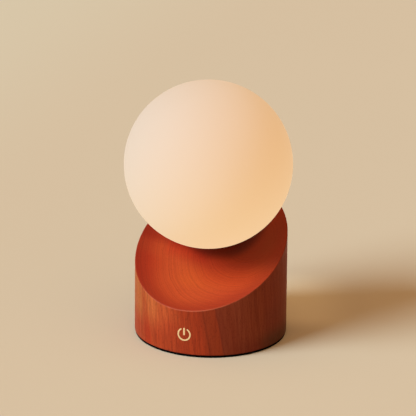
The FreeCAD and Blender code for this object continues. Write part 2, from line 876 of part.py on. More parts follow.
def supply_lead():
    """From the cell's cap round the left side of the cavity."""
    start = Vector(-cell_length / 2, cell_shift + supply_lead_offset, cell_height)
    out = start - Vector(supply_lead_reach, 0, 0)
    halfway = (cell_height + socket_z) / 2
    mouth = Vector(-socket_mouth, side_socket_y, socket_z)
    points = [start, out]
    heights = (cell_height, halfway)
    points += [polar(supply_lead_circle, angle, z) for angle, z in zip(supply_lead_angles, heights)]
    points += [mouth - Vector(socket_lead_reach, 0, 0), mouth]
    return lead(points, supply_lead_radius, supply_lead_bend_radius)


def sensor_lead():
    """From the sensor's back along the ballast's right edge."""
    lead_height = sign_height - sensor_lead_drop
    start = sign_frame.multVec(Vector(0, sensor_thickness - sensor_face, lead_height))
    inward = sign_frame.multVec(Vector(0, -cavity_radius - sensor_lead_setback, lead_height))
    low = ballast_top + sensor_lead_radius
    mouth = Vector(socket_mouth, side_socket_y, socket_z)
    points = [start, inward]
    points += [polar(sensor_lead_circle, angle, low) for angle in sensor_lead_angles]
    points.append(polar(sensor_lead_circle, sensor_lead_last_angle, (low + socket_z) / 2))
    points += [mouth + Vector(socket_lead_reach, 0, 0), mouth]
    return lead(points, sensor_lead_radius, sensor_lead_bend_radius)


os.makedirs("parts", exist_ok=True)
save("base_body", base_body())
save("foot_pad", foot_pad())
save("bottom_plate", bottom_plate())
save("plate_screws", *plate_screws())
save("touch_sensor", touch_sensor())
save("ballast_plate", ballast_plate())
save("battery_cradle", battery_cradle())
save("battery_cell", battery_cell())
save("battery_pad", battery_pad())
save("cradle_screws", *cradle_screws())
save("main_board", main_board())
save("board_screws", *board_screws())
save("board_parts", *board_parts())
save("lead_sockets", *lead_sockets())
save("charge_light", charge_light())
save("light_pipe", light_pipe())
save("inlet_shell", inlet_shell())
save("inlet_tongue", inlet_tongue())
save("inlet_bezel", inlet_bezel())
save("globe_holder", globe_holder())
save("holder_screws", *holder_screws())
save("neck_gasket", neck_gasket())
save("led_slug", led_slug())
save("led_board", led_board())
save("led_chips", *led_chips())
save("led_screws", *led_screws())
save("light_dome", light_dome())
save("globe_shade", globe_shade())
save("globe_collar", globe_collar())
save("led_lead", led_lead())
save("supply_lead", supply_lead())
save("sensor_lead", sensor_lead())
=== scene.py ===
import json
import math

import bmesh
import bpy
from bpy.props import FloatProperty, FloatVectorProperty, IntProperty, PointerProperty
from mathutils import Matrix, Vector


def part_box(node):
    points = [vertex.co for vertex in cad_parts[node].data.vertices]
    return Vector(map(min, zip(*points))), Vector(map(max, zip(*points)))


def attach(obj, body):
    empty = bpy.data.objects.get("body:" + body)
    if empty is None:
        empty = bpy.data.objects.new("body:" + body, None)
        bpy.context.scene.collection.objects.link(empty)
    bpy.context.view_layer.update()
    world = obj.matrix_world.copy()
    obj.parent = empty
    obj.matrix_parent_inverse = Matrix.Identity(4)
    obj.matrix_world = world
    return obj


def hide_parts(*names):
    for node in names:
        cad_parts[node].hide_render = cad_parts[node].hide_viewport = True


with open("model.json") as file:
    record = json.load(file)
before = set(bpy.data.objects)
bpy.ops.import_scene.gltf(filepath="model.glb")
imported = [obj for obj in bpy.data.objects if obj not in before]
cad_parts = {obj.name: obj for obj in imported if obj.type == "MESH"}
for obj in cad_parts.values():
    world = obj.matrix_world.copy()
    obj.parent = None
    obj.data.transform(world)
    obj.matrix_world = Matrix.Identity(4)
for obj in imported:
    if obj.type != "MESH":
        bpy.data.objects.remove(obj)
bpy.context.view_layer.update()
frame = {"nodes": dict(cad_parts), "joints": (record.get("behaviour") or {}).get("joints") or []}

bl_info = {
    "name": "Rechargeable Table Lamp",
    "version": (1, 0, 0),
    "blender": (4, 5, 0),
    "location": "View3D > Sidebar > Table Lamp",
    "description": "Opal globe lamp on a slanted, dished wooden drum",
    "category": "Object",
}

MM = 0.001
TINY = 0.001 * MM

# The neck's line, the rim's slope and the main sizes, all read from the frame
TWIST = frame["joints"][0]
NECK_AXIS = Vector(TWIST["axis"]).normalized()
POCKET = Vector(TWIST["pos_m"])
SLANT = math.atan2(-NECK_AXIS.y, NECK_AXIS.z)
ACROSS, INWARD, UP = (Vector(axis) for axis in ((1, 0, 0), (0, 1, 0), (0, 0, 1)))
UP_SLOPE = NECK_AXIS.cross(ACROSS)
BASE_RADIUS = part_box("base_body")[1].x
FOOT_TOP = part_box("foot_pad")[1].z
GLOBE_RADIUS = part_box("globe_shade")[1].x
GLOBE_RISE = (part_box("globe_shade")[1].z - GLOBE_RADIUS - POCKET.z) / NECK_AXIS.z
GLOBE_CENTRE = POCKET + NECK_AXIS * GLOBE_RISE
INLET_Z = sum(corner.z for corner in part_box("inlet_bezel")) / 2


def paint(code):
    """Linear colour from a #rrggbb code, by the sRGB curve."""
    shares = [int(code[start:start + 2], 16) / 255 for start in (1, 3, 5)]
    return tuple(c / 12.92 if c <= 0.04045 else ((c + 0.055) / 1.055) ** 2.4 for c in shares)


def number(name, description, value, **more):
    return FloatProperty(name=name, description=description, default=value, **more)


def length(name, description, millimetres):
    return number(name, description, millimetres * MM, unit="LENGTH")


def angle(name, description, degrees):
    return number(name, description, math.radians(degrees), subtype="ANGLE")


def share(name, description, value):
    return number(name, description, value, subtype="FACTOR")


def factors(name, description, value, **more):
    """Red, green and blue factors, which may pass 1."""
    return FloatVectorProperty(name=name, description=description, default=value,
                               size=3, min=0.0, **more)


def colour(name, description, code):
    return factors(name, description, paint(code), subtype="COLOR", max=1.0)


# Sizes and colours that a user would change

class BaseShape(bpy.types.PropertyGroup):
    """The turned wooden drum."""
    rim_height: length("Rim height", "Height of the rim's middle above the table", 60.0)
    rim_land: length("Rim land", "Flat left between the drum's side and the dish", 0.6)
    rim_round: length("Rim round", "Rounding of the rim's outer edge", 0.4)
    lower_edge: length("Lower edge", "Rounding of the drum's lower edge", 0.5)
    dish_depth: length("Dish depth", "Depth of the dish at its middle", 8.0)
    neck_shift: length("Neck shift", "How far up the slope the holder's pocket lies", 23.3)
    pocket_gap: length("Pocket gap", "Room round the holder in its pocket", 0.3)
    cavity_radius: length("Cavity radius", "Radius of the space for the battery and board", 39.0)
    cavity_top: length("Cavity top", "Height of the cavity's ceiling", 29.0)
    sensor_width: length("Sensor width", "Width of the pocket for the touch sensor", 17.0)
    sensor_top: length("Sensor top", "Height of the top of the sensor's pocket", 24.5)
    sensor_wall: length("Sensor wall", "Wood left between the touch sensor and the sign", 3.5)
    screw_circle: length("Screw circle", "Radius of the circle of plate screws", 43.0)
    screw_rise: length("Screw rise", "How far the plate screws reach above the foot", 12.0)
    holder_circle: length("Holder circle", "Radius of the circle of holder screws", 12.6)
    holder_reach: length("Holder reach", "Reach of the holder screws under the pocket's floor", 7.4)
    rebate_radius: length("Rebate radius", "Radius of the step that takes the bottom plate", 46.8)
    rebate_depth: length("Rebate depth", "Depth of the step that takes the bottom plate", 2.8)
    bore_radius: length("Bore radius", "Radius of the way for the light's lead", 4.0)
    columns: IntProperty(name="Columns", description="Faces round the drum", default=360, min=48)


class WoodFinish(bpy.types.PropertyGroup):
    """Oiled reddish wood with clear growth rings."""
    body: colour("Body", "Main colour of the wood", "#B83A1B")
    light: colour("Light", "Colour of the paler early wood", "#C44C22")
    core: colour("Core", "Colour of the brown end grain at the tree's middle", "#84341A")
    sap: colour("Sap", "Colour of the yellower wood furthest from the tree's middle", "#CE6930")
    heart: colour("Heart", "Colour of the browner wood near the tree's middle", "#95432A")
    # Painted shadow: the globe's shadow on the dish's left wall beside it
    red: colour("Red", "Colour of the redder end grain away from the tree's middle", "#A62C14")
    # Painted shade: darker, redder wood all round the globe's seat, where shade falls under the
    # globe
    globe_shadow: colour("Stained", "Colour of the dish's left wall beside the globe", "#9A2610")
    seat_shade: colour("Pooled", "Colour where oil has pooled round the globe's seat", "#651805")
    dark: colour("Dark", "Colour of the ring lines", "#7B2512")
    pore: colour("Pore", "Colour inside the pores", "#471608")
    # Painted highlight: a thin pale line along the rim's rounded edge
    rim_highlight: colour("Rubbed", "Colour of the rim where the finish is rubbed thin", "#D67850")
    ring_spacing: length("Ring spacing", "Distance between growth rings", 4.35)
    pith_x: length("Pith X", "Where the tree's middle passes the rim height", 24.0)
    pith_y: length("Pith Y", "Where the tree's middle passes the rim height", 14.0)
    pith_lean: number("Pith lean", "Drift of the tree's middle per unit of height", -0.085)
    heart_radius: length("Heart radius", "Radius of the ring where the browner wood begins", 61.2)


class WoodShades(bpy.types.PropertyGroup):
    """Changes of tone in zones of the dish and of the drum's side; the zones beside the globe's
    seat and low on the right are painted shade.
    """
    dish: factors("Dish", "Over the whole dish", (1.02, 0.95, 0.91))
    rim: factors("Rim", "Towards the dish's rim", (0.83, 0.75, 0.80))
    flame: factors("Flame", "In the paler streak across the dish", (1.11, 1.29, 0.98))
    left: factors("Left", "On the dish's left wall", (0.97, 0.78, 0.81))
    right: factors("Right", "On the dish's right wall", (0.83, 1.09, 0.96))
    # Painted shade: darker wood left and right of the globe's seat, where shade falls under the
    # globe
    left_seat_shade: factors("Left seat", "Left of the globe's seat", (0.95, 0.59, 0.64))
    right_seat_shade: factors("Right seat", "Right of the globe's seat", (0.63, 0.61, 0.43))
    heart: factors("Heart", "In the paler heartwood", (1.27, 1.38, 1.32))
    shoulder: factors("Shoulder", "In the heartwood just inside its edge", (1.0, 0.90, 0.80))
    edge: factors("Edge", "In the ring outside the heartwood", (0.80, 0.92, 1.0))
    pale: factors("Pale", "In the pale rings left of the sign", (1.22, 1.20, 1.30))
    warm: factors("Warm", "In the rings that meet the rim beside its low point", (1.07, 1.27, 1.21))
    red: factors("Red", "In the red ring beside the pale ones", (0.96, 0.70, 0.76))
    # Painted shade: the drum's side darker low on the right, next to the floor, where it is in
    # shade
    low: factors("Low", "Low on the right", (0.46, 0.84, 0.76))
    high: factors("High", "High on the right", (1.17, 1.07, 0.97))


class GlobeShape(bpy.types.PropertyGroup):
    """The blown opal globe and its neck."""
    wall: length("Wall", "Thickness of the glass", 2.2)
    neck_radius: length("Neck radius", "Outer radius of the neck", 12.8)
    neck_round: length("Neck round", "Rounding where the neck meets the ball", 0.8)
    neck_foot: length("Neck foot", "Height of the neck's end above the pocket floor", 3.3)
    columns: IntProperty(name="Columns", description="Faces round the globe", default=192, min=32)
    glass: colour("Glass", "Colour of the opal glass", "#6A7C80")
    glow: colour("Glow", "Colour of the light through the lower glass", "#F9D6AC")
    far_glow: colour("Far glow", "Colour of the light through the top of the glass", "#E0AD7C")
    # Painted light: the glow is cooler on the key light's side and warmer on the side in shade
    key_lit_tint: colour("Cool side", "Tint of the glow on the left", "#E6F0FF")
    shaded_tint: colour("Warm side", "Tint of the glow on the right", "#FCF3E2")
    cast: colour("Cast", "Colour of the light that the glass casts round it", "#F1C695")
    glow_strength: number("Glow strength", "Brightness of the glow", 1.0, min=0.0)
    glow_share: share("Glow share", "Part of the glow that lights what stands round it", 0.62)


class SignShape(bpy.types.PropertyGroup):
    """The touch sign let into the front of the drum."""
    height: length("Height", "Height of the sign's middle", 15.35)
    turn: angle("Turn", "How far round from the low point of the rim the sign stands", 2.5)
    radius: length("Radius", "Radius of the ring's middle line", 4.05)
    stroke: length("Stroke", "Width of the ring", 1.05)
    bar_top: length("Bar top", "Top of the bar above the sign's middle", 4.6)
    bar_foot: length("Bar foot", "Foot of the bar above the sign's middle", -0.7)
    bar_width: length("Bar width", "Width of the bar", 1.25)
    gap: angle("Gap", "Half of the opening in the ring", 26.0)
    proud: length("Proud", "How far the inlay stands out of the wood", 0.04)
    sunk: length("Sunk", "How deep the inlay reaches into the wood", 0.3)
    gold: colour("Gold", "Colour of the inlay", "#E8BC80")
    # Painted light: the brass inlay gives no light; this glow only brightens it
    glow: colour("Glow", "Colour of the inlay's own light", "#F0C890")
    glow_strength: number("Glow strength", "Brightness of the inlay's own light", 0.24, min=0.0)


class FootShape(bpy.types.PropertyGroup):
    """The rubber pad under the drum."""
    edge: length("Edge", "Rounding of the pad's edges", 0.25)
    hole_radius: length("Hole radius", "Radius of the screw holes", 3.6)
    hole_circle: length("Hole circle", "Radius of the circle of screw holes", 43.0)
    groove_depth: length("Groove depth", "Depth of the grip grooves", 0.35)
    groove_width: length("Groove width", "Width of the grip grooves", 1.2)
    rubber: colour("Rubber", "Colour of the rubber", "#060605")


class StageSetting(bpy.types.PropertyGroup):
    """Floor, lights and camera."""
    floor: colour("Floor", "Colour of the floor and backdrop", "#D6BFA0")
    # Painted light: the floor is painted paler far out on the left
    far_floor_light: colour("Far floor", "Colour of the floor far out on the left", "#D7C5A7")
    # Painted light: the floor is painted paler where the lamp's near shadow falls
    shadow_lift: factors("Lit", "Change of tone of the floor in the lamp's near shadow", (1.38, 1.44, 1.42))
    floor_radius: length("Floor radius", "Size of the round floor", 4000.0)
    azimuth: angle("Azimuth", "Camera's turn to the right from the front", 22.57)
    elevation: angle("Elevation", "Camera's height angle", 20.05)
    roll: angle("Roll", "Camera's roll", -0.515)
    distance: length("Distance", "Camera's distance along its view line", 2644.0)
    offset_right: length("Offset right", "Camera's place to the right of the origin", -2.335)
    offset_up: length("Offset up", "Camera's place above the origin in its own view", 80.4)
    lens: number("Lens", "Focal length in millimetres for the film width below", 346.15)
    film: number("Film", "Width of the camera's film in millimetres", 36.0)
    key_turn: angle("Key turn", "Turn of the key light to the left of the camera", 62.0)
    key_rise: angle("Key rise", "Height angle of the key light", 37.0)
    key_spread: angle("Key spread", "Apparent size of the key light", 32.0)
    key_level: factors("Key level", "Light of the key where it falls square", (0.765, 1.055, 1.31))
    fill_top: factors("Fill top", "Light from straight above", (0.90, 0.605, 0.365))
    fill_side: factors("Fill side", "Light from the horizon", (0.12, 0.10, 0.06))
    fill_focus: number("Fill focus", "How fast the fill falls off from straight above", 1.6)
    fill_lean: share("Fill lean", "How much of the fill comes from the camera's side", 0.5)
    floor_bounce: share("Floor bounce", "Part of the floor's brightness that lights the lamp", 0.25)


class TableLampSettings(bpy.types.PropertyGroup):
    """All settings of the lamp."""
    base: PointerProperty(type=BaseShape, name="Base", description="Sizes of the wooden base")
    wood: PointerProperty(type=WoodFinish, name="Wood", description="Look of the wood")
    shades: PointerProperty(type=WoodShades, name="Shades", description="Tones of the wood by zone")
    globe: PointerProperty(type=GlobeShape, name="Globe", description="Sizes and look of the globe")
    sign: PointerProperty(type=SignShape, name="Sign", description="Sizes and look of the sign")
    foot: PointerProperty(type=FootShape, name="Foot", description="Sizes and look of the foot")
    stage: PointerProperty(type=StageSetting, name="Stage", description="Floor, lights and camera")


# Zones of the wood. Each span names a measure and the places along it, in millimetres, where
# the zone starts and is full, and, if it ends again, where it starts to go and is gone.
# A colour has its name in the finish, how much of it there is, and its spans.
DISH_COLOURS = (
    ("light", 1.0, (("reach", 32.0, 54.0),)),
    ("red", 1.0, (("reach", 60.0, 86.0),)),
    ("core", 0.75, (("reach", 30.0, 8.0),)),
    ("red", 0.6, (("front_right", 26.0, 48.0),)),
)
# Painted shade round the globe's seat: the globe's shadow on the dish's left wall, and darker wood
# all round the seat
DISH_SEAT_SHADE = (
    ("globe_shadow", 0.75, (("up_slope", -28.0, -20.0), ("across", 6.0, -12.0))),
    ("seat_shade", 0.9, (("off_neck", 32.0, 22.5),)),
)
DISH_ZONES = {
    "dish": (),
    "rim": (("out", 36.0, 49.0),),
    "flame": (("y", -32.0, -20.0, -14.0, -3.0), ("x", -24.0, -2.0)),
    "left": (("x", -22.0, -40.0), ("y", -6.0, -14.0)),
    "right": (("x", 24.0, 42.0), ("y", -18.0, -2.0)),
    # Painted shade: the two seat zones darken the dish beside the globe
    "left_seat_shade": (("x", -36.0, -26.0, -8.0, 4.0), ("y", -10.0, 2.0)),
    "right_seat_shade": (("off_neck", 34.0, 24.0), ("x", 4.0, 18.0)),
}
SIDE_ZONES = {
    "heart": (("reach", 38.0, 49.0, 52.0, 61.0), ("height", 4.0, 14.0)),
    "shoulder": (("reach", 53.5, 57.0, 60.8, 61.6),),
    "edge": (("past_heart", -0.4, 0.4, 3.8, 6.2),),
    "pale": (("past_heart", 10.0, 16.0, 19.7, 20.6), ("height", 6.0, 24.0)),
    "red": (("past_heart", 19.9, 20.7, 21.6, 22.3),),
    "warm": (("past_heart", 10.6, 12.2, 15.0, 16.6), ("height", 18.0, 27.0)),
    # Painted shade: darker low on the right of the drum's side
    "low": (("x", 42.0, 49.0), ("height", 18.0, 4.0)),
    "high": (("x", 42.0, 49.0), ("height", 20.0, 36.0)),
}
SAPWOOD = (("past_heart", 13.5, 19.0), ("height", 10.0, 27.0))
# Painted highlight along the rim's outer rounding
RIM_HIGHLIGHT = (("over_rim", -0.42, -0.12), ("out", 49.35, 49.8))
FRONT_RIGHT = (0.6, -0.8, 0.0)

# Painted light on the floor: paler in the lamp's near shadow, along two fixed directions, and paler
# far out on the left
ASIDE, BEHIND = (0.92, 0.38, 0.0), (-0.38, 0.92, 0.0)
SHADOW_LIFT_ZONE = (("aside", 10.0, 50.0, 52.0, 102.0), ("behind", -4.0, 26.0, 72.0, 116.0))
FAR_FLOOR_LIGHT = (("x", -220.0, -440.0),)


# Mesh helpers

def ring(place, count):
    """Points round one turn, from a function of the angle."""
    return [place(math.tau * step / count) for step in range(count)]


def flat(radius, z, y=0.0):
    """Level circle, as a function of the angle."""
    return lambda turn: Vector((radius * math.cos(turn), y + radius * math.sin(turn), z))


def skin(rings, looped=False, capped=False):
    """Faces between neighbouring rings of points, where a ring may be a single point.

    Looped joins the last ring to the first; capped fills the first and the last ring.
    """
    bm = bmesh.new()
    rows = [[bm.verts.new(point) for point in points] for points in rings]
    pairs = list(zip(rows, rows[1:]))
    if looped:
        pairs.append((rows[-1], rows[0]))
    for low, high in pairs:
        count = max(len(low), len(high))
        for here in range(count):
            there = (here + 1) % count
            places = ((low, here), (low, there), (high, there), (high, here))
            corners = [row[index % len(row)] for row, index in places]
            bm.faces.new(list(dict.fromkeys(corners)))
    if capped:
        bm.faces.new(rows[0])
        bm.faces.new(rows[-1])
    return bm


def revolve(profile, count):
    """Skin of revolution about Z from (radius, height) pairs; a zero radius is a point."""
    return skin([ring(flat(radius, height), count if radius else 1) for radius, height in profile])


def arc(centre, radius, start, end, steps):
    """(radius, height) pairs along an arc, angles from the radius axis."""
    pairs = []
    for step in range(steps + 1):
        turn = start + (end - start) * step / steps
        pairs.append((centre[0] + radius * math.cos(turn), centre[1] + radius * math.sin(turn)))
    return pairs


def piece(name, bm, crease=32.0, matrix=None):
    """Object from a bmesh, smooth but for edges sharper than the crease angle."""
    if matrix is not None:
        bmesh.ops.transform(bm, matrix=matrix, verts=bm.verts)
    bmesh.ops.recalc_face_normals(bm, faces=bm.faces)
    mesh = bpy.data.meshes.new(name)
    bm.to_mesh(mesh)
    bm.free()
    made = bpy.data.objects.new(name, mesh)
    bpy.context.scene.collection.objects.link(made)
    smooth(mesh, crease)
    return made


def smooth(mesh, crease):
    mesh.shade_smooth()
    bm = bmesh.new()
    bm.from_mesh(mesh)
    for edge in bm.edges:
        edge.smooth = len(edge.link_faces) == 2 and edge.calc_face_angle() < math.radians(crease)
    bm.to_mesh(mesh)
    bm.free()


def cut(body, cutters, crease=32.0):
    """Takes the cutters out of the body and deletes them."""
    for cutter in cutters:
        hole = body.modifiers.new("hole", "BOOLEAN")
        hole.operation = "DIFFERENCE"
        hole.solver = "EXACT"
        hole.object = cutter
    with bpy.context.temp_override(object=body, active_object=body, selected_objects=[body]):
        for modifier in list(body.modifiers):
            bpy.ops.object.modifier_apply(modifier=modifier.name)
    for cutter in cutters:
        bpy.data.meshes.remove(cutter.data)
    bm = bmesh.new()
    bm.from_mesh(body.data)
    bmesh.ops.remove_doubles(bm, verts=bm.verts, dist=0.1 * TINY)
    bm.to_mesh(body.data)
    bm.free()
    smooth(body.data, crease)


def bar(outline, start, end):
    """Closed prism along Y from (x, z) corners."""
    return skin([[(x, y, z) for x, z in outline] for y in (start, end)], capped=True)


def obround(width, height, z, steps=24):
    """(x, z) corners of a slot shape that is centred on x."""
    radius = height / 2
    reach = width / 2 - radius
    corners = []
    for side in (1, -1):
        for step in range(steps + 1):
            turn = math.pi * (step / steps - 0.5)
            x, up = reach + radius * math.cos(turn), radius * math.sin(turn)
            corners.append((side * x, z + side * up))
    return corners


def rectangle(width, low, high):
    return [(-width / 2, low), (width / 2, low), (width / 2, high), (-width / 2, high)]


def turned_frame(origin, axis):
    """Matrix that takes Z to the axis and the origin to the place, with X kept."""
    side = axis.cross(ACROSS)
    return Matrix.Translation(origin) @ Matrix((ACROSS, side, axis)).transposed().to_4x4()


NECK_FRAME = turned_frame(POCKET, NECK_AXIS)


# Shader helpers

class Graph:
    """Adds and links the nodes of one material or node group."""

    def __init__(self, tree):
        self.tree = tree

    def add(self, kind, inputs=None, **settings):
        node = self.tree.nodes.new(kind)
        for name, value in settings.items():
            setattr(node, name, value)
        for socket, value in (inputs or {}).items():
            self.feed(node.inputs[socket], value)
        return node

    def feed(self, socket, value):
        if isinstance(value, bpy.types.NodeSocket):
            self.tree.links.new(value, socket)
        elif hasattr(value, "__len__") and socket.type == "RGBA":
            socket.default_value = (*value[:3], 1.0)
        else:
            socket.default_value = value

    def math(self, operation, first, second=0.0, third=0.0, clamp=False):
        inputs = {0: first, 1: second, 2: third}
        return self.add("ShaderNodeMath", inputs, operation=operation, use_clamp=clamp).outputs[0]

    def vector(self, operation, first, second=(0.0, 0.0, 0.0)):
        inputs = {0: first, "Scale" if operation == "SCALE" else 1: second}
        node = self.add("ShaderNodeVectorMath", inputs, operation=operation)
        return node.outputs["Value" if operation in ("LENGTH", "DOT_PRODUCT") else "Vector"]

    def noise(self, where, scale, detail=2.0, roughness=0.5, output="Fac"):
        inputs = {"Vector": where, "Scale": scale, "Detail": detail, "Roughness": roughness}
        return self.add("ShaderNodeTexNoise", inputs).outputs[output]

    def noise_line(self, along, scale, detail=2.0, roughness=0.5):
        inputs = {"W": along, "Scale": scale, "Detail": detail, "Roughness": roughness}
        return self.add("ShaderNodeTexNoise", inputs, noise_dimensions="1D").outputs["Fac"]

    def remap(self, value, low, high, to_low=0.0, to_high=1.0):
        inputs = {"Value": value, "From Min": low, "From Max": high,
                  "To Min": to_low, "To Max": to_high}
        node = self.add("ShaderNodeMapRange", inputs, interpolation_type="SMOOTHSTEP")
        return node.outputs["Result"]

    def times(self, first, *others):
        """Product of all the values."""
        for other in others:
            first = self.math("MULTIPLY", first, other)
        return first

    def less(self, value, share_off=1.0):
        """One less a share of the value."""
        return self.math("MULTIPLY_ADD", value, -share_off, 1.0)

    def zone(self, at, spans, *masks):
        """Product of the masks and of one mask for each rise and fall of the spans."""
        for name, *marks in spans:
            masks += (self.remap(at[name], *marks[:2]),)
            if marks[2:]:
                drop, end = marks[2:]
                masks += (self.remap(at[name], end, drop),)
        return self.times(*masks)

    def shade(self, tone, shade, mask):
        """Tone times the shade where the mask is one."""
        return self.mix(mask, tone, self.vector("MULTIPLY", tone, shade))

    def mix(self, factor, first, second):
        inputs = {0: factor, 6: first, 7: second}
        return self.add("ShaderNodeMix", inputs, data_type="RGBA").outputs[2]

    def group(self, tree, inputs):
        return self.add("ShaderNodeGroup", inputs, node_tree=tree).outputs

    def bump(self, height, strength, distance):
        inputs = {"Height": height, "Strength": strength, "Distance": distance}
        return self.add("ShaderNodeBump", inputs).outputs["Normal"]


def material(name, **plain):
    """New material with its graph and Principled shader, whose plain sockets are set."""
    made = bpy.data.materials.new(name)
    made.use_nodes = True
    graph = Graph(made.node_tree)
    shader = made.node_tree.nodes["Principled BSDF"]
    for socket, value in plain.items():
        graph.feed(shader.inputs[socket.replace("_", " ")], value)
    return made, graph, shader.inputs


def object_place(graph):
    """Place on the object in millimetres."""
    place = graph.add("ShaderNodeTexCoord").outputs["Object"]
    return graph.vector("SCALE", place, 1 / MM)


def new_group(name, inputs, outputs):
    """Node group with named sockets; inputs are (name, kind, default) and outputs (name, kind)."""
    tree = bpy.data.node_groups.new(name, "ShaderNodeTree")
    for label, kind, value in inputs:
        socket = tree.interface.new_socket(label, in_out="INPUT", socket_type="NodeSocket" + kind)
        if kind != "Vector":
            socket.default_value = (*value, 1.0) if kind == "Color" else value
    for label, kind in outputs:
        tree.interface.new_socket(label, in_out="OUTPUT", socket_type="NodeSocket" + kind)
    graph = Graph(tree)
    return tree, graph, graph.add("NodeGroupInput").outputs, graph.add("NodeGroupOutput").inputs


def surface_group(name, inputs):
    """Node group of a surface, which puts out its colour, roughness and height."""
    outputs = [("Colour", "Color"), ("Roughness", "Float"), ("Height", "Float")]
    return new_group(name, [("Place", "Vector", None), *inputs], outputs)


def mottle_group():
    """Cloudy colour, uneven gloss and a fine bump, for moulded, rubber and glass surfaces."""
    name = "Mottle"
    if name in bpy.data.node_groups:
        return bpy.data.node_groups[name]
    tree, graph, given, out = surface_group(name, [
        ("Colour", "Color", (0.5, 0.5, 0.5)), ("Fleck", "Color", (0.4, 0.4, 0.4)),
        ("Cloud Scale", "Float", 0.08), ("Grain Scale", "Float", 4.0), ("Amount", "Float", 0.3),
        ("Roughness", "Float", 0.5), ("Roughness Spread", "Float", 0.1)])
    cloud = graph.noise(given["Place"], given["Cloud Scale"], detail=3.0, roughness=0.6)
    grain = graph.noise(given["Place"], given["Grain Scale"], roughness=0.6)
    patch = graph.times(graph.remap(cloud, 0.35, 0.7), given["Amount"])
    graph.feed(out["Colour"], graph.mix(patch, given["Colour"], given["Fleck"]))
    swing = graph.math("SUBTRACT", grain, 0.5)
    rough = graph.math("MULTIPLY_ADD", swing, given["Roughness Spread"], given["Roughness"])
    graph.feed(out["Roughness"], rough)
    graph.feed(out["Height"], grain)
    return tree


def lathe_group():
    """Fine turned lines round an axis, for machined and spun metal."""
    name = "Turned Lines"
    if name in bpy.data.node_groups:
        return bpy.data.node_groups[name]
    tree, graph, given, out = surface_group(name, [
        ("Axis", "Vector", None), ("Colour", "Color", (0.6, 0.6, 0.6)),
        ("Shade", "Color", (0.4, 0.4, 0.4)), ("Line Scale", "Float", 3.0),
        ("Roughness", "Float", 0.3)])
    along = graph.vector("DOT_PRODUCT", given["Place"], given["Axis"])
    reach = graph.vector("LENGTH", graph.vector("CROSS_PRODUCT", given["Place"], given["Axis"]))
    cone = graph.math("ADD", along, graph.times(reach, 0.73))
    lines = graph.noise_line(cone, given["Line Scale"], detail=4.0, roughness=0.7)
    smudge = graph.noise(given["Place"], scale=0.35, detail=3.0, roughness=0.6)
    graph.feed(out["Colour"], graph.mix(graph.times(lines, 0.6), given["Colour"], given["Shade"]))
    line_share, smudge_share = 0.18, 0.22
    line_swing = graph.times(graph.math("SUBTRACT", lines, 0.5), line_share)
    smudge_swing = graph.times(graph.math("SUBTRACT", smudge, 0.5), smudge_share)
    swing = graph.math("ADD", line_swing, smudge_swing)
    graph.feed(out["Roughness"], graph.math("ADD", swing, given["Roughness"]))
    graph.feed(out["Height"], lines)
    return tree


def surfaced(name, tree, values, bump, distance, **plain):
    """Material whose colour, roughness and bump come from a surface group."""
    made, graph, sockets = material(name, **plain)
    got = graph.group(tree, {"Place": object_place(graph), **values})
    graph.feed(sockets["Base Color"], got["Colour"])
    graph.feed(sockets["Roughness"], got["Roughness"])
    graph.feed(sockets["Normal"], graph.bump(got["Height"], bump, distance))
    return made, graph, sockets


def linear(shade):
    """Linear colour from a #rrggbb code or from a colour property."""
    return paint(shade) if isinstance(shade, str) else shade


def mottled(name, base, fleck, roughness, spread=0.12, amount=0.35, grain=4.0, bump=0.3,
            distance=0.02 * MM, **plain):
    """Moulded or coated material with the mottle group."""
    values = {"Colour": linear(base), "Fleck": linear(fleck), "Amount": amount,
              "Grain Scale": grain, "Roughness": roughness, "Roughness Spread": spread}
    return surfaced(name, mottle_group(), values, bump, distance, **plain)[0]


def turned_metal(name, base, shade, axis, roughness, line_scale=3.0, **plain):
    """Metal with the turned-lines group."""
    values = {"Axis": axis, "Colour": linear(base), "Shade": linear(shade),
              "Line Scale": line_scale, "Roughness": roughness}
    return surfaced(name, lathe_group(), values, bump=0.15, distance=0.01 * MM,
                    Metallic=1.0, **plain)[0]


def coat(node_names, finish):
    """Gives CAD nodes a finish in all their material slots."""
    for name in node_names:
        mesh = frame["nodes"][name].data
        mesh.materials.clear()
        mesh.materials.append(finish)


def dress(made, finish, body, slot, *replaced):
    """Gives a modelled piece its finish and body and hides the nodes that it stands for; the slot
    is not used.
    """
    made.data.materials.append(finish)
    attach(made, body)
    if replaced:
        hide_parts(*replaced)


# Wooden base

def rim_point(shape, turn, radius):
    """Point of the slanted rim plane over a circle in plan."""
    y = radius * math.sin(turn)
    return Vector((radius * math.cos(turn), y, shape.rim_height + y * math.tan(SLANT)))


def slope_point(shape, x, up, out):
    """Point given across, up and out of the rim plane, from the plane's middle."""
    return Vector((0.0, 0.0, shape.rim_height)) + ACROSS * x + UP_SLOPE * up + NECK_AXIS * out


def dish_level(shape, x, up):
    """How far the dish lies under the rim plane."""
    reach = BASE_RADIUS - shape.rim_land
    ball = (reach ** 2 + shape.dish_depth ** 2) / (2 * shape.dish_depth)
    beyond = x ** 2 + (up * math.cos(SLANT)) ** 2
    return math.sqrt(ball ** 2 - beyond) - ball + shape.dish_depth


def rim_rounding(shape, share_along):
    """Point function on the soft outer edge of the rim, from the side over to the land."""
    def place(turn):
        corner = rim_point(shape, turn, BASE_RADIUS)
        low = corner - Vector((0.0, 0.0, shape.rim_round))
        high = rim_point(shape, turn, BASE_RADIUS - shape.rim_round)
        back = 1 - share_along
        return low * back ** 2 + corner * 2 * back * share_along + high * share_along ** 2
    return place


def side_point(shape, share_up, drop=0.0):
    """Point function on the drum's side, as a share of the way from the lower edge to the rim."""
    def place(turn):
        low = FOOT_TOP + shape.lower_edge
        high = rim_point(shape, turn, BASE_RADIUS).z - shape.rim_round
        z = low + (high - low) * share_up - drop
        return Vector((BASE_RADIUS * math.cos(turn), BASE_RADIUS * math.sin(turn), z))
    return place


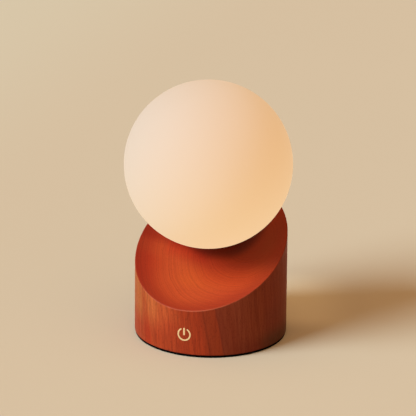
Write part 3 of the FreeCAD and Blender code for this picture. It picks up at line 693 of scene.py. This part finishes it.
def dish_point(shape, share_in):
    """Point function on the dish, from its edge to the mouth of the holder's pocket."""
    pocket_radius = holder_pocket(shape)
    reach = BASE_RADIUS - shape.rim_land

    def place(turn):
        outer = (reach * math.cos(turn), reach * math.sin(turn) / math.cos(SLANT))
        inner = (pocket_radius * math.cos(turn), shape.neck_shift + pocket_radius * math.sin(turn))
        x, up = (a + (b - a) * share_in for a, b in zip(outer, inner))
        return slope_point(shape, x, up, -dish_level(shape, x, up))
    return place


def holder_pocket(shape):
    """Radius of the pocket round the globe's holder."""
    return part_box("globe_holder")[1].x + shape.pocket_gap


def pocket_point(radius, out):
    """Point function on a circle square to the neck's axis."""
    middle = POCKET + NECK_AXIS * out
    return lambda turn: middle + (ACROSS * math.cos(turn) + UP_SLOPE * math.sin(turn)) * radius


def bore_mouth(shape):
    """Point function where the upright bore meets the pocket's sloping floor."""
    def place(turn):
        x = shape.bore_radius * math.cos(turn)
        y = shape.bore_radius * math.sin(turn)
        return POCKET + Vector((x, y, y * math.tan(SLANT)))
    return place


def wood_stations(shape):
    """One closed walk over the wood: side, rim, dish, pocket, bore, cavity and underside."""
    edge_steps, rim_steps, dish_rows = 5, 6, 44
    dish_edge, land_end, mouth_edge = 0.003, 0.9, 0.8 * MM
    edge = shape.lower_edge
    stations = [flat(BASE_RADIUS - edge, FOOT_TOP)]
    for step in range(1, edge_steps + 1):
        turn = math.pi / 2 * step / edge_steps
        inset = edge * (1 - math.sin(turn))
        stations.append(flat(BASE_RADIUS - inset, FOOT_TOP + edge * (1 - math.cos(turn))))
    stations += [side_point(shape, share_up) for share_up in (0.01, 0.25, 0.5, 0.75)]
    stations.append(side_point(shape, 1.0, drop=shape.rim_round))
    stations += [rim_rounding(shape, step / rim_steps) for step in range(rim_steps + 1)]
    land = BASE_RADIUS - shape.rim_land * land_end
    stations.append(lambda turn: rim_point(shape, turn, land))
    for row in range(dish_rows + 1):
        share_in = (1 - math.cos(math.pi * row / dish_rows)) / 2
        stations.append(dish_point(shape, dish_edge + (1 - dish_edge) * share_in))
    pocket_radius = holder_pocket(shape)
    step_top = FOOT_TOP + shape.rebate_depth
    return stations + [
        pocket_point(pocket_radius, mouth_edge), pocket_point(pocket_radius, 0.0),
        bore_mouth(shape), flat(shape.bore_radius, shape.cavity_top, POCKET.y),
        flat(shape.cavity_radius, shape.cavity_top), flat(shape.cavity_radius, step_top),
        flat(shape.rebate_radius, step_top), flat(shape.rebate_radius, FOOT_TOP)]


def screw_ways(name, radius, circle, low, high, count, start, matrix, sides=48):
    """Round ways for a circle of screws, as one piece."""
    bm = bmesh.new()
    for index in range(count):
        turn = start + math.tau * index / count
        middle = (circle * math.cos(turn), circle * math.sin(turn), (low + high) / 2)
        bmesh.ops.create_cone(bm, cap_ends=True, segments=sides, radius1=radius, radius2=radius,
                              depth=high - low, matrix=matrix @ Matrix.Translation(middle))
    return piece(name, bm)


def wood_cutters(shape, sign_turn):
    """Ways through the wood: the charging inlet, its light, the sensor and the screws."""
    lip_rim, overlap, beyond = 0.8 * MM, 0.8 * MM, 2.0 * MM
    lip_depth, port_depth = 1.2 * MM, 9.5 * MM
    port_width, port_top = 23.0 * MM, 17.0 * MM
    plate_screw, holder_screw = 1.6 * MM, 1.2 * MM
    outside = BASE_RADIUS + beyond

    lip_low, lip_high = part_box("inlet_bezel")
    lip_width, lip_height = lip_high.x - lip_low.x, lip_high.z - lip_low.z
    face = lip_low.y
    mouth = obround(lip_width - 2 * lip_rim, lip_height - 2 * lip_rim, INLET_Z)
    lip = obround(lip_width, lip_height, INLET_Z)
    port = rectangle(port_width, FOOT_TOP - overlap, port_top)
    pipe_low, pipe_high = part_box("light_pipe")
    pipe_width, pipe_height = pipe_high.x - pipe_low.x, pipe_high.z - pipe_low.z - TINY
    pipe = obround(pipe_width, pipe_height, INLET_Z)
    pipe_place = Matrix.Translation(((pipe_low.x + pipe_high.x) / 2, 0, 0))
    sensor = rectangle(shape.sensor_width, FOOT_TOP - overlap, shape.sensor_top)
    sensor_place = Matrix.Rotation(sign_turn, 4, "Z")
    sensor_ends = shape.sensor_wall - BASE_RADIUS, beyond - shape.cavity_radius
    return [
        piece("bezel_way", bar(mouth, face - overlap, outside)),
        piece("lip_way", bar(lip, BASE_RADIUS - lip_depth, outside)),
        piece("port_pocket", bar(port, face - port_depth, face)),
        piece("light_way", bar(pipe, face - overlap, outside), matrix=pipe_place),
        piece("sensor_pocket", bar(sensor, *sensor_ends), matrix=sensor_place),
        screw_ways("plate_screw_way", plate_screw, shape.screw_circle, FOOT_TOP + overlap,
                   FOOT_TOP + shape.screw_rise, count=4, start=math.pi / 4, matrix=Matrix()),
        screw_ways("holder_screw_way", holder_screw, shape.holder_circle, -shape.holder_reach,
                   overlap, count=3, start=math.pi / 2, matrix=NECK_FRAME)]


def stretched(graph, place, up):
    """Place with its height scaled, so that noise runs along the grain."""
    return graph.vector("MULTIPLY", place, (1.0, 1.0, up))


def ring_reach(graph, place, height, finish, rim_height):
    """Distance from the tree's leaning middle, with the slow and quick wander of real growth."""
    grown = place
    for up, scale, swing in ((0.25, 0.035, 4.0), (0.3, 0.22, 0.8)):
        wander = graph.noise(stretched(graph, place, up), scale, output="Color")
        wander = graph.vector("SUBTRACT", wander, (0.5, 0.5, 0.5))
        grown = graph.vector("ADD", grown, graph.vector("SCALE", wander, swing))
    over_rim = graph.math("SUBTRACT", height, rim_height / MM)
    middle = graph.add("ShaderNodeCombineXYZ", {
        "X": finish.pith_x / MM,
        "Y": graph.math("MULTIPLY_ADD", over_rim, finish.pith_lean, finish.pith_y / MM)})
    away = graph.vector("SUBTRACT", grown, middle.outputs[0])
    return graph.vector("LENGTH", graph.vector("MULTIPLY", away, (1.1, 1.0, 0.0)))


def wood_measures(graph, place, finish, shape):
    """Measures of a place in the wood, in millimetres, that the zones and rings go by."""
    x, y, height = graph.add("ShaderNodeSeparateXYZ", {0: place}).outputs
    reach = ring_reach(graph, place, height, finish, shape.rim_height)
    from_neck = graph.vector("SUBTRACT", place, POCKET / MM)
    from_rim = graph.vector("SUBTRACT", place, (0.0, 0.0, shape.rim_height / MM))
    return {
        "x": x, "y": y, "height": height, "reach": reach,
        "past_heart": graph.math("SUBTRACT", reach, finish.heart_radius / MM),
        "out": graph.vector("LENGTH", stretched(graph, place, 0.0)),
        "front_right": graph.vector("DOT_PRODUCT", place, FRONT_RIGHT),
        "up_slope": graph.vector("DOT_PRODUCT", from_neck, UP_SLOPE),
        "across": graph.vector("DOT_PRODUCT", from_neck, ACROSS),
        "off_neck": graph.vector("LENGTH", graph.vector("CROSS_PRODUCT", from_neck, NECK_AXIS)),
        "over_rim": graph.vector("DOT_PRODUCT", from_rim, NECK_AXIS)}


def late_wood(graph, at, count, index, end_grain, heart_side):
    """Mask of the dark line that ends each ring, fainter in some rings and zones."""
    phase = graph.math("FRACT", count)
    return graph.times(
        graph.remap(phase, 0.78, 0.95), graph.remap(phase, 1.0, 0.97),
        graph.remap(graph.noise_line(index, scale=3.7, detail=0.0), 0.3, 0.7, 0.35, 1.0),
        graph.less(heart_side, share_off=0.55), graph.less(end_grain, share_off=0.45),
        graph.less(graph.times(end_grain, graph.remap(at["reach"], 58.0, 44.0)), share_off=0.6),
        graph.remap(at["past_heart"], 6.0, 12.0, 1.0, 0.45))


def lay_colours(graph, tone, finish, at, layers, *masks):
    """Tone with each layer's colour of the finish mixed in by its share, spans and masks."""
    for name, most, spans in layers:
        tone = graph.mix(graph.zone(at, spans, most, *masks), tone, getattr(finish, name))
    return tone


def lay_shades(graph, tone, shades, at, zones, grain):
    """Tone with the shade of each zone."""
    for name, spans in zones.items():
        tone = graph.shade(tone, getattr(shades, name), graph.zone(at, spans, grain))
    return tone


def side_tone(graph, finish, at, cloud, band, long_grain):
    """Colour of the long grain, paler away from the heartwood and yellower in the sapwood."""
    outer = graph.times(graph.remap(at["past_heart"], 2.0, 26.0), long_grain)
    pale = graph.math("ADD", graph.remap(cloud, 0.3, 0.75), graph.remap(band, 0.35, 0.7))
    pale = graph.math("MULTIPLY", graph.math("ADD", pale, outer), 0.34, clamp=True)
    tone = graph.mix(pale, finish.body, finish.light)
    sappy = graph.zone(at, SAPWOOD, graph.remap(cloud, 0.3, 0.6, 0.45, 0.95))
    return graph.mix(sappy, tone, finish.sap)


def wood_material(finish, shades, shape):
    """Growth rings round a leaning middle, fibres, pores and a thin oiled finish, with painted
    shade round the globe's seat and low on the right, and a painted highlight along the rim.
    """
    made, graph, sockets = material("oiled wood", IOR=1.45, Specular_IOR_Level=0.15)
    place = object_place(graph)
    at = wood_measures(graph, place, finish, shape)
    normal = graph.add("ShaderNodeTexCoord").outputs["Normal"]
    facing_up = graph.add("ShaderNodeSeparateXYZ", {0: normal}).outputs["Z"]
    end_grain = graph.remap(facing_up, 0.3, 0.75)
    long_grain = graph.less(end_grain)
    heart_side = graph.times(graph.remap(at["past_heart"], 0.4, -0.4), long_grain)
    count = graph.math("DIVIDE", at["past_heart"], finish.ring_spacing / MM)
    index = graph.math("FLOOR", count)
    line = late_wood(graph, at, count, index, end_grain, heart_side)
    band = graph.noise_line(index, scale=5.3, detail=0.0)
    streak = graph.noise_line(at["reach"], scale=0.9, detail=4.0, roughness=0.7)
    fibre = graph.noise(stretched(graph, place, 0.03), scale=0.85, detail=5.0, roughness=0.72)
    cloud = graph.noise(stretched(graph, place, 0.4), scale=0.05, detail=3.0)
    speck = graph.noise(stretched(graph, place, 0.16), scale=3.4, detail=1.0, roughness=0.4)
    pores = graph.remap(speck, 0.63, 0.70)

    cover = 0.9
    tone = side_tone(graph, finish, at, cloud, band, long_grain)
    dish_tone = lay_colours(graph, finish.body, finish, at, DISH_COLOURS)
    tone = graph.mix(graph.times(end_grain, cover), tone, dish_tone)
    # Painted shade round the globe's seat
    tone = lay_colours(graph, tone, finish, at, DISH_SEAT_SHADE, end_grain)
    tone = lay_shades(graph, tone, shades, at, DISH_ZONES, end_grain)
    tone = graph.mix(graph.times(heart_side, cover), tone, finish.heart)
    tone = lay_shades(graph, tone, shades, at, SIDE_ZONES, long_grain)

    streak_share, line_share, pore_share = 0.26, 0.55, 0.45
    fibre_share = graph.math("MULTIPLY_ADD", long_grain, 0.28, 0.08)
    dark_lines = (graph.times(graph.remap(streak, 0.42, 0.68), streak_share),
                  graph.times(graph.remap(fibre, 0.44, 0.66), fibre_share),
                  graph.times(line, line_share))
    for mask in dark_lines:
        tone = graph.mix(mask, tone, finish.dark)
    tone = graph.mix(graph.times(pores, pore_share), tone, finish.pore)
    # Painted highlight: a pale line along the rim's rounding, strongest at the front and patchy
    front = graph.remap(at["y"], -36.0, -46.0, 0.15, 1.0)
    patchy = graph.remap(cloud, 0.35, 0.65, 0.08, 0.35)
    tone = graph.mix(graph.zone(at, RIM_HIGHLIGHT, front, patchy), tone, finish.rim_highlight)
    graph.feed(sockets["Base Color"], tone)

    rough = graph.math("MULTIPLY_ADD", fibre, 0.16, 0.42)
    graph.feed(sockets["Roughness"], graph.math("MULTIPLY_ADD", pores, 0.2, rough))
    relief = graph.math("SUBTRACT", graph.times(fibre, 0.5), pores)
    graph.feed(sockets["Normal"], graph.bump(relief, strength=0.3, distance=0.03 * MM))
    return made


class TABLELAMP_OT_wooden_base(bpy.types.Operator):
    """Turned drum with its slanted rim, dish, pocket and cavity"""
    bl_idname = "table_lamp.wooden_base"
    bl_label = "Wooden Base"

    def execute(self, context):
        settings = context.scene.table_lamp
        shape = settings.base
        rings = [ring(place, shape.columns) for place in wood_stations(shape)]
        body = piece("wooden_drum", skin(rings, looped=True))
        cut(body, wood_cutters(shape, settings.sign.turn))
        wood = wood_material(settings.wood, settings.shades, shape)
        dress(body, wood, "base", "cherry_wood", "base_body")
        return {"FINISHED"}


# Foot and bottom

class TABLELAMP_OT_foot(bpy.types.Operator):
    """Rubber pad with rounded edges, grip grooves and screw holes, and the plate behind it"""
    bl_idname = "table_lamp.foot"
    bl_label = "Foot"

    def execute(self, context):
        shape = context.scene.table_lamp.foot
        groove_places, screws, crease = (0.24, 0.48, 0.72), 4, 40.0
        edge_steps, pad_sides, hole_sides = 4, 256, 64
        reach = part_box("foot_pad")[1].x
        edge, depth = shape.edge, shape.groove_depth
        profile = [(0.0, 0.0)]
        for middle in groove_places:
            inner = middle * reach - shape.groove_width / 2
            outer = inner + shape.groove_width
            slant = depth / 2
            profile += [(inner, 0.0), (inner + slant, depth), (outer - slant, depth), (outer, 0.0)]
        profile += arc((reach - edge, edge), edge, -math.pi / 2, 0.0, edge_steps)
        profile += arc((reach - edge, FOOT_TOP - edge), edge, 0.0, math.pi / 2, edge_steps)
        profile.append((0.0, FOOT_TOP))
        pad = piece("grip_pad", revolve(profile, pad_sides), crease=crease)
        ways = screw_ways("screw_way", shape.hole_radius, shape.hole_circle, -FOOT_TOP,
                          2 * FOOT_TOP, screws, math.pi / screws, Matrix(), hole_sides)
        cut(pad, [ways], crease=crease)
        rubber = mottled("grip rubber", shape.rubber, "#0B0B0A", 0.9, grain=6.0, bump=0.4,
                         Specular_IOR_Level=0.04)
        dress(pad, rubber, "base", "foot_rubber", "foot_pad")
        moulded = mottled("moulded plate", "#171718", "#222224", 0.55, grain=7.0, bump=0.35)
        coat(["bottom_plate"], moulded)
        coat(["plate_screws"], turned_metal("plate screw steel", "#9A9A98", "#6F6F6E", UP, 0.36))
        return {"FINISHED"}


# Touch sign

def on_wall(shape, across, above, out):
    """Point on the drum's side, measured along it from the sign's middle."""
    turn = shape.turn - math.pi / 2 + across / BASE_RADIUS
    reach = BASE_RADIUS + out
    return Vector((reach * math.cos(turn), reach * math.sin(turn), shape.height + above))


def inlay_strip(shape, spine, half_width):
    """Domed strip along a spine of (across, above), side direction and share of the width."""
    lanes = (-1.0, -0.93, -0.6, 0.0, 0.6, 0.93, 1.0)
    dome = (0.5, 0.9, 1.0, 0.9, 0.5)
    outs = (-shape.sunk, *(shape.proud * part for part in dome), -shape.sunk)
    rings = []
    for (across, above), (side_x, side_y), width in spine:
        points = []
        for lane, out in zip(lanes, outs):
            offset = lane * half_width * width
            points.append(on_wall(shape, across + side_x * offset, above + side_y * offset, out))
        rings.append(points)
    return skin(rings, capped=True)


def rounded_stops(run, half_width, steps):
    """(distance, width share) stops along a run with half-round ends."""
    end_stops, first = 7, 0.35
    ends = []
    for step in range(end_stops):
        turn = math.pi / 2 * (step + first) / (end_stops - 1 + first)
        ends.append((half_width * (1 - math.cos(turn)), math.sin(turn)))
    straight = run - 2 * half_width
    stops = [(half_width + straight * step / steps, 1.0) for step in range(1, steps)]
    return ends + stops + [(run - distance, width) for distance, width in reversed(ends)]


class TABLELAMP_OT_touch_sign(bpy.types.Operator):
    """Broken ring and bar of the touch switch, let into the wood"""
    bl_idname = "table_lamp.touch_sign"
    bl_label = "Touch Sign"

    def execute(self, context):
        shape = context.scene.table_lamp.sign
        ring_steps, bar_steps, crease = 96, 10, 50.0
        half = shape.stroke / 2
        run = (math.tau - 2 * shape.gap) * shape.radius
        spine = []
        for distance, width in rounded_stops(run, half, ring_steps):
            turn = math.pi / 2 + shape.gap + distance / shape.radius
            side = (math.cos(turn), math.sin(turn))
            spine.append(((side[0] * shape.radius, side[1] * shape.radius), side, width))
        # Painted light: the inlay's emission only brightens the gold
        gold = mottled("sign gold", shape.gold, "#DAA868", 0.42, amount=0.4, grain=9.0, bump=0.1,
                       Emission_Color=shape.glow, Emission_Strength=shape.glow_strength)
        ring_strip = inlay_strip(shape, spine, half)
        half = shape.bar_width / 2
        stops = rounded_stops(shape.bar_top - shape.bar_foot, half, bar_steps)
        spine = [((0.0, shape.bar_foot + distance), (1.0, 0.0), width) for distance, width in stops]
        strips = {"sign_ring": ring_strip, "sign_bar": inlay_strip(shape, spine, half)}
        for name, strip in strips.items():
            dress(piece(name, strip, crease=crease), gold, "base", "satin_brass")
        return {"FINISHED"}


# Globe

def globe_profile(shape):
    """(radius, height) pairs from the pole over the ball, down the neck and back inside."""
    ball_steps, round_steps, lip_steps, bend_steps, inner_steps = 96, 6, 10, 8, 72
    round_x = shape.neck_radius + shape.neck_round
    round_z = GLOBE_RISE - math.sqrt((GLOBE_RADIUS + shape.neck_round) ** 2 - round_x ** 2)
    meet = math.atan2(round_z - GLOBE_RISE, round_x)
    centre, bend_middle = (0.0, GLOBE_RISE), (round_x, round_z)
    outer = arc(centre, GLOBE_RADIUS, math.pi / 2, meet, ball_steps)
    outer += arc(bend_middle, shape.neck_round, meet + math.pi, math.pi, round_steps)[1:]
    lip = shape.wall / 2
    lip_middle = (shape.neck_radius - lip, shape.neck_foot + lip)
    around = arc(lip_middle, lip, 0.0, -math.pi, lip_steps)
    bend = shape.neck_round + shape.wall
    inner = arc(bend_middle, bend, math.pi, meet + math.pi, bend_steps)
    inner += arc(centre, GLOBE_RADIUS - shape.wall, meet, math.pi / 2, inner_steps)[1:]
    profile = outer + around + inner
    return [(0.0 if radius < 0.1 * TINY else radius, height) for radius, height in profile]


def opal_material(shape):
    """Satin opal glass that glows from inside, warmer towards its foot, with painted light: its
    glow is cooler on the left, where the key light falls, and warmer to the right, in its shade.
    """
    spread = 1.3 * GLOBE_RADIUS / MM
    rightwards = Vector((0.8, -0.6, 0.0))
    values = {"Colour": shape.glass, "Fleck": tuple(0.96 * part for part in shape.glass),
              "Amount": 0.5, "Cloud Scale": 0.03, "Grain Scale": 2.5, "Roughness": 0.75,
              "Roughness Spread": 0.08}
    made, graph, sockets = surfaced(
        "satin opal glass", mottle_group(), values, bump=0.05, distance=0.01 * MM,
        Emission_Strength=shape.glow_strength, IOR=1.5, Specular_IOR_Level=0.25)
    place = object_place(graph)
    glow = []
    # Painted light: the second tint is cooler on the key light's side and warmer on the side in
    # shade
    for way, low_tint, high_tint in ((UP, shape.glow, shape.far_glow),
                                     (rightwards, shape.key_lit_tint, shape.shaded_tint)):
        along = graph.vector("DOT_PRODUCT", place, way)
        middle = way.dot(GLOBE_CENTRE) / MM
        part = graph.remap(along, middle - spread, middle + spread)
        glow.append(graph.mix(part, low_tint, high_tint))
    cast = tuple(shape.glow_share * part for part in shape.cast)
    seen = graph.vector("MULTIPLY", *glow)
    graph.feed(sockets["Emission Color"], graph.mix(seen_ray(graph), cast, seen))
    return made


class TABLELAMP_OT_globe(bpy.types.Operator):
    """Blown opal globe with its neck and lip"""
    bl_idname = "table_lamp.globe"
    bl_label = "Globe"

    def execute(self, context):
        shape = context.scene.table_lamp.globe
        skinned = revolve(globe_profile(shape), shape.columns)
        ball = piece("opal_globe", skinned, crease=60.0, matrix=NECK_FRAME)
        dress(ball, opal_material(shape), "globe", "opal_glass", "globe_shade")
        return {"FINISHED"}


# Twist lock and light source

class TABLELAMP_OT_twist_lock(bpy.types.Operator):
    """Finishes of the holder, its screws and seal, and the globe's collar"""
    bl_idname = "table_lamp.twist_lock"
    bl_label = "Twist Lock"

    def execute(self, context):
        coat(["globe_holder"], mottled("holder moulding", "#141415", "#1F1F20", 0.5, grain=7.0))
        coat(["neck_gasket"], mottled("seal rubber", "#101010", "#1A1A19", 0.78, grain=5.0))
        coat(["globe_collar"], turned_metal("spun brass", "#C79A55", "#9C7439", NECK_AXIS, 0.34))
        steel = turned_metal("holder screw steel", "#9A9A98", "#6F6F6E", NECK_AXIS, 0.34)
        coat(["holder_screws"], steel)
        return {"FINISHED"}


class TABLELAMP_OT_light_source(bpy.types.Operator):
    """Finishes of the slug, the light board, its chips and screws, and the milky cap"""
    bl_idname = "table_lamp.light_source"
    bl_label = "Light Source"

    def execute(self, context):
        coat(["led_slug"], turned_metal("turned aluminium", "#C6C7C9", "#9FA1A4", NECK_AXIS, 0.3,
                                        line_scale=5.0))
        coat(["led_board"], mottled("white board", "#ECEBE4", "#DEDCD3", 0.42, grain=5.0))
        coat(["led_chips"], mottled("chip phosphor", "#F2C24A", "#E3AC33", 0.4, grain=8.0))
        steel = turned_metal("light screw steel", "#A5A5A3", "#777776", NECK_AXIS, 0.34)
        coat(["led_screws"], steel)
        milky = mottled("milky cap", "#EFE9DC", "#E6DECD", 0.38, grain=3.0, bump=0.1,
                        Subsurface_Weight=0.3, Subsurface_Radius=(2 * MM, 1.5 * MM, 1 * MM))
        coat(["light_dome"], milky)
        return {"FINISHED"}


# Charging inlet

class TABLELAMP_OT_charging_inlet(bpy.types.Operator):
    """Finishes of the inlet and the gilt contacts on its tongue"""
    bl_idname = "table_lamp.charging_inlet"
    bl_label = "Charging Inlet"

    def execute(self, context):
        tongue_half, tip_gap = 0.35 * MM, 0.4 * MM
        count, pitch, width, reach, thickness = 12, 0.5 * MM, 0.26 * MM, 2.6 * MM, 0.03 * MM
        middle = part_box("inlet_tongue")[1].y - tip_gap - reach / 2
        shape = Matrix.Diagonal((width, reach, thickness, 1.0))
        bm = bmesh.new()
        for side in (-1, 1):
            z = INLET_Z + side * (tongue_half + thickness / 2)
            for index in range(count):
                x = (index - (count - 1) / 2) * pitch
                place = Matrix.Translation((x, middle, z))
                bmesh.ops.create_cube(bm, size=1.0, matrix=place @ shape)
        gilt = turned_metal("contact gilt", "#E0B45C", "#B98C3C", INWARD, 0.25)
        dress(piece("inlet_contacts", bm), gilt, "base", "satin_brass")
        coat(["inlet_bezel"], mottled("bezel moulding", "#151516", "#202021", 0.46, grain=7.0))
        coat(["inlet_tongue"], mottled("tongue moulding", "#0E0E0F", "#181819", 0.5, grain=7.0))
        coat(["inlet_shell"], turned_metal("shell steel", "#B9B9B8", "#8E8E8E", INWARD, 0.24))
        coat(["light_pipe"], mottled("light pipe", "#D8DDDB", "#C9CFCD", 0.18, spread=0.05,
                                     grain=3.0, bump=0.05, Transmission_Weight=0.6, IOR=1.49))
        coat(["charge_light"], mottled("charge lamp", "#E9ECE6", "#DADFD6", 0.35, grain=6.0))
        return {"FINISHED"}


# Inner works

class TABLELAMP_OT_inner_works(bpy.types.Operator):
    """Finishes of the boards, the battery, its cradle and the ballast"""
    bl_idname = "table_lamp.inner_works"
    bl_label = "Inner Works"

    def execute(self, context):
        coat(["main_board", "touch_sensor"], mottled("solder mask", "#0F4A28", "#0B3B1F", 0.38,
                                                     grain=3.0, amount=0.6))
        coat(["board_parts"], mottled("component bodies", "#1B1B1D", "#2A2A2D", 0.45, grain=6.0))
        coat(["lead_sockets"], mottled("socket moulding", "#E4E1D6", "#D6D2C5", 0.48, grain=6.0))
        wrap = mottled("cell wrap", "#1D3F7A", "#173365", 0.3, grain=2.0, bump=0.15)
        coat(["battery_cell"], wrap)
        coat(["battery_pad"], mottled("foam", "#1C1C1C", "#303030", 0.9, grain=1.6, bump=0.9,
                                      distance=0.2 * MM))
        coat(["battery_cradle"], mottled("cradle moulding", "#18181A", "#232326", 0.52, grain=7.0))
        coat(["ballast_plate"], turned_metal("ballast steel", "#8F9092", "#6A6B6D", UP, 0.42))
        screw_steel = turned_metal("small screw steel", "#A3A3A1", "#757574", UP, 0.34)
        coat(["cradle_screws", "board_screws"], screw_steel)
        return {"FINISHED"}


class TABLELAMP_OT_leads(bpy.types.Operator):
    """Finish of the inner leads"""
    bl_idname = "table_lamp.leads"
    bl_label = "Leads"

    def execute(self, context):
        jacket = mottled("lead jacket", "#8E1414", "#7A1010", 0.42, grain=2.0, bump=0.15)
        coat(["led_lead", "supply_lead", "sensor_lead"], jacket)
        return {"FINISHED"}


# Stage

def direction(turn, rise=0.0):
    """Direction at a turn to the right from the front and a height angle."""
    level = math.cos(rise)
    return Vector((math.sin(turn) * level, -math.cos(turn) * level, math.sin(rise)))


def view_axes(setting):
    """Directions to the camera's right, up and back."""
    back = direction(setting.azimuth, setting.elevation)
    right = direction(setting.azimuth + math.pi / 2)
    return right, back.cross(right), back


def place_camera(setting):
    """Long lens at the place and turn that the settings give."""
    right, up, back = view_axes(setting)
    cos, sin = math.cos(setting.roll), math.sin(setting.roll)
    matrix = Matrix((right * cos - up * sin, right * sin + up * cos, back)).transposed().to_4x4()
    aside = right * setting.offset_right + up * setting.offset_up
    matrix.translation = back * setting.distance + aside
    lens = bpy.data.cameras.new("camera")
    lens.sensor_width = setting.film
    lens.lens = setting.lens
    lens.clip_end = 20.0
    camera = bpy.data.objects.new("camera", lens)
    camera.matrix_world = matrix
    bpy.context.scene.collection.objects.link(camera)
    bpy.context.scene.camera = camera


def place_key(setting):
    """Soft light from the left of the camera."""
    towards = direction(setting.azimuth - setting.key_turn, setting.key_rise)
    light = bpy.data.lights.new("key", "SUN")
    light.angle = setting.key_spread
    level = max(setting.key_level)
    light.color = [part / level for part in setting.key_level]
    light.energy = level * math.pi
    lamp = bpy.data.objects.new("key", light)
    lamp.location = towards
    lamp.rotation_euler = towards.to_track_quat("Z", "Y").to_euler()
    bpy.context.scene.collection.objects.link(lamp)


def seen_ray(graph):
    """One for rays that show a surface to the eye, straight or in a reflection or through glass."""
    path = graph.add("ShaderNodeLightPath").outputs
    seen = graph.math("MAXIMUM", path["Is Camera Ray"], path["Is Transmission Ray"])
    return graph.math("MAXIMUM", seen, path["Is Glossy Ray"])


def light_world(setting):
    """Soft light that grows towards the top of the sky, and a backdrop in the floor's colour."""
    world = bpy.data.worlds.new("studio")
    world.use_nodes = True
    bpy.context.scene.world = world
    graph = Graph(world.node_tree)
    world.node_tree.nodes.clear()
    ray = graph.add("ShaderNodeTexCoord").outputs["Generated"]
    height = graph.add("ShaderNodeSeparateXYZ", {0: ray}).outputs["Z"]
    share_up = graph.math("POWER", graph.math("MAXIMUM", height, 0.0), setting.fill_focus)
    sky = graph.mix(share_up, setting.fill_side, setting.fill_top)
    towards = graph.vector("DOT_PRODUCT", ray, direction(setting.azimuth))
    sky = graph.vector("SCALE", sky, graph.math("MULTIPLY_ADD", towards, setting.fill_lean, 1.0))
    light = graph.add("ShaderNodeBackground", {"Color": sky}).outputs[0]
    backdrop = graph.add("ShaderNodeBackground", {"Color": setting.floor}).outputs[0]
    shown = graph.add("ShaderNodeMixShader", {0: seen_ray(graph), 1: light, 2: backdrop}).outputs[0]
    graph.add("ShaderNodeOutputWorld", {"Surface": shown})


def floor_material(setting):
    """Plain paint with painted light, paler far out on the left and in the lamp's near shadow, and
    dimmer in its own light.
    """
    made, graph, sockets = material("floor", Roughness=1.0, Specular_IOR_Level=0.0)
    place = object_place(graph)
    cloud = graph.noise(place, scale=0.004)
    worn = tuple(0.985 * part for part in setting.floor)
    at = {"x": graph.add("ShaderNodeSeparateXYZ", {0: place}).outputs["X"],
          "aside": graph.vector("DOT_PRODUCT", place, ASIDE),
          "behind": graph.vector("DOT_PRODUCT", place, BEHIND)}
    shown = graph.mix(cloud, setting.floor, worn)
    # Painted light: paler floor far out on the left
    shown = graph.mix(graph.zone(at, FAR_FLOOR_LIGHT), shown, setting.far_floor_light)
    # Painted light: paler floor in the lamp's near shadow
    shown = graph.shade(shown, setting.shadow_lift, graph.zone(at, SHADOW_LIFT_ZONE))
    dim = tuple(setting.floor_bounce * part for part in setting.floor)
    graph.feed(sockets["Base Color"], graph.mix(seen_ray(graph), dim, shown))
    return made


class TABLELAMP_OT_stage(bpy.types.Operator):
    """Plain floor, soft light and the camera"""
    bl_idname = "table_lamp.stage"
    bl_label = "Stage"

    def execute(self, context):
        setting = context.scene.table_lamp.stage
        sides = 128
        floor = piece("floor", revolve([(0.0, 0.0), (setting.floor_radius, 0.0)], sides))
        floor.data.materials.append(floor_material(setting))
        place_camera(setting)
        place_key(setting)
        light_world(setting)
        context.scene.view_settings.view_transform = "Standard"
        return {"FINISHED"}


PIECES = (TABLELAMP_OT_stage, TABLELAMP_OT_wooden_base, TABLELAMP_OT_foot,
          TABLELAMP_OT_touch_sign, TABLELAMP_OT_globe, TABLELAMP_OT_twist_lock,
          TABLELAMP_OT_light_source, TABLELAMP_OT_charging_inlet, TABLELAMP_OT_inner_works,
          TABLELAMP_OT_leads)


class TABLELAMP_PT_pieces(bpy.types.Panel):
    """Lists the lamp's pieces"""
    bl_idname = "TABLELAMP_PT_pieces"
    bl_label = "Table Lamp"
    bl_space_type = "VIEW_3D"
    bl_region_type = "UI"
    bl_category = "Table Lamp"

    def draw(self, context):
        for step in PIECES:
            self.layout.operator(step.bl_idname)


CLASSES = (BaseShape, WoodFinish, WoodShades, GlobeShape, SignShape, FootShape, StageSetting,
           TableLampSettings, *PIECES, TABLELAMP_PT_pieces)


def register():
    for one in CLASSES:
        bpy.utils.register_class(one)
    bpy.types.Scene.table_lamp = PointerProperty(type=TableLampSettings, name="Table lamp",
                                                 description="The lamp's settings")


def unregister():
    del bpy.types.Scene.table_lamp
    for one in reversed(CLASSES):
        bpy.utils.unregister_class(one)


def main():
    register()
    bpy.ops.table_lamp.stage()
    bpy.ops.table_lamp.wooden_base()
    bpy.ops.table_lamp.foot()
    bpy.ops.table_lamp.touch_sign()
    bpy.ops.table_lamp.globe()
    bpy.ops.table_lamp.twist_lock()
    bpy.ops.table_lamp.light_source()
    bpy.ops.table_lamp.charging_inlet()
    bpy.ops.table_lamp.inner_works()
    bpy.ops.table_lamp.leads()


if __name__ == "__main__":
    main()
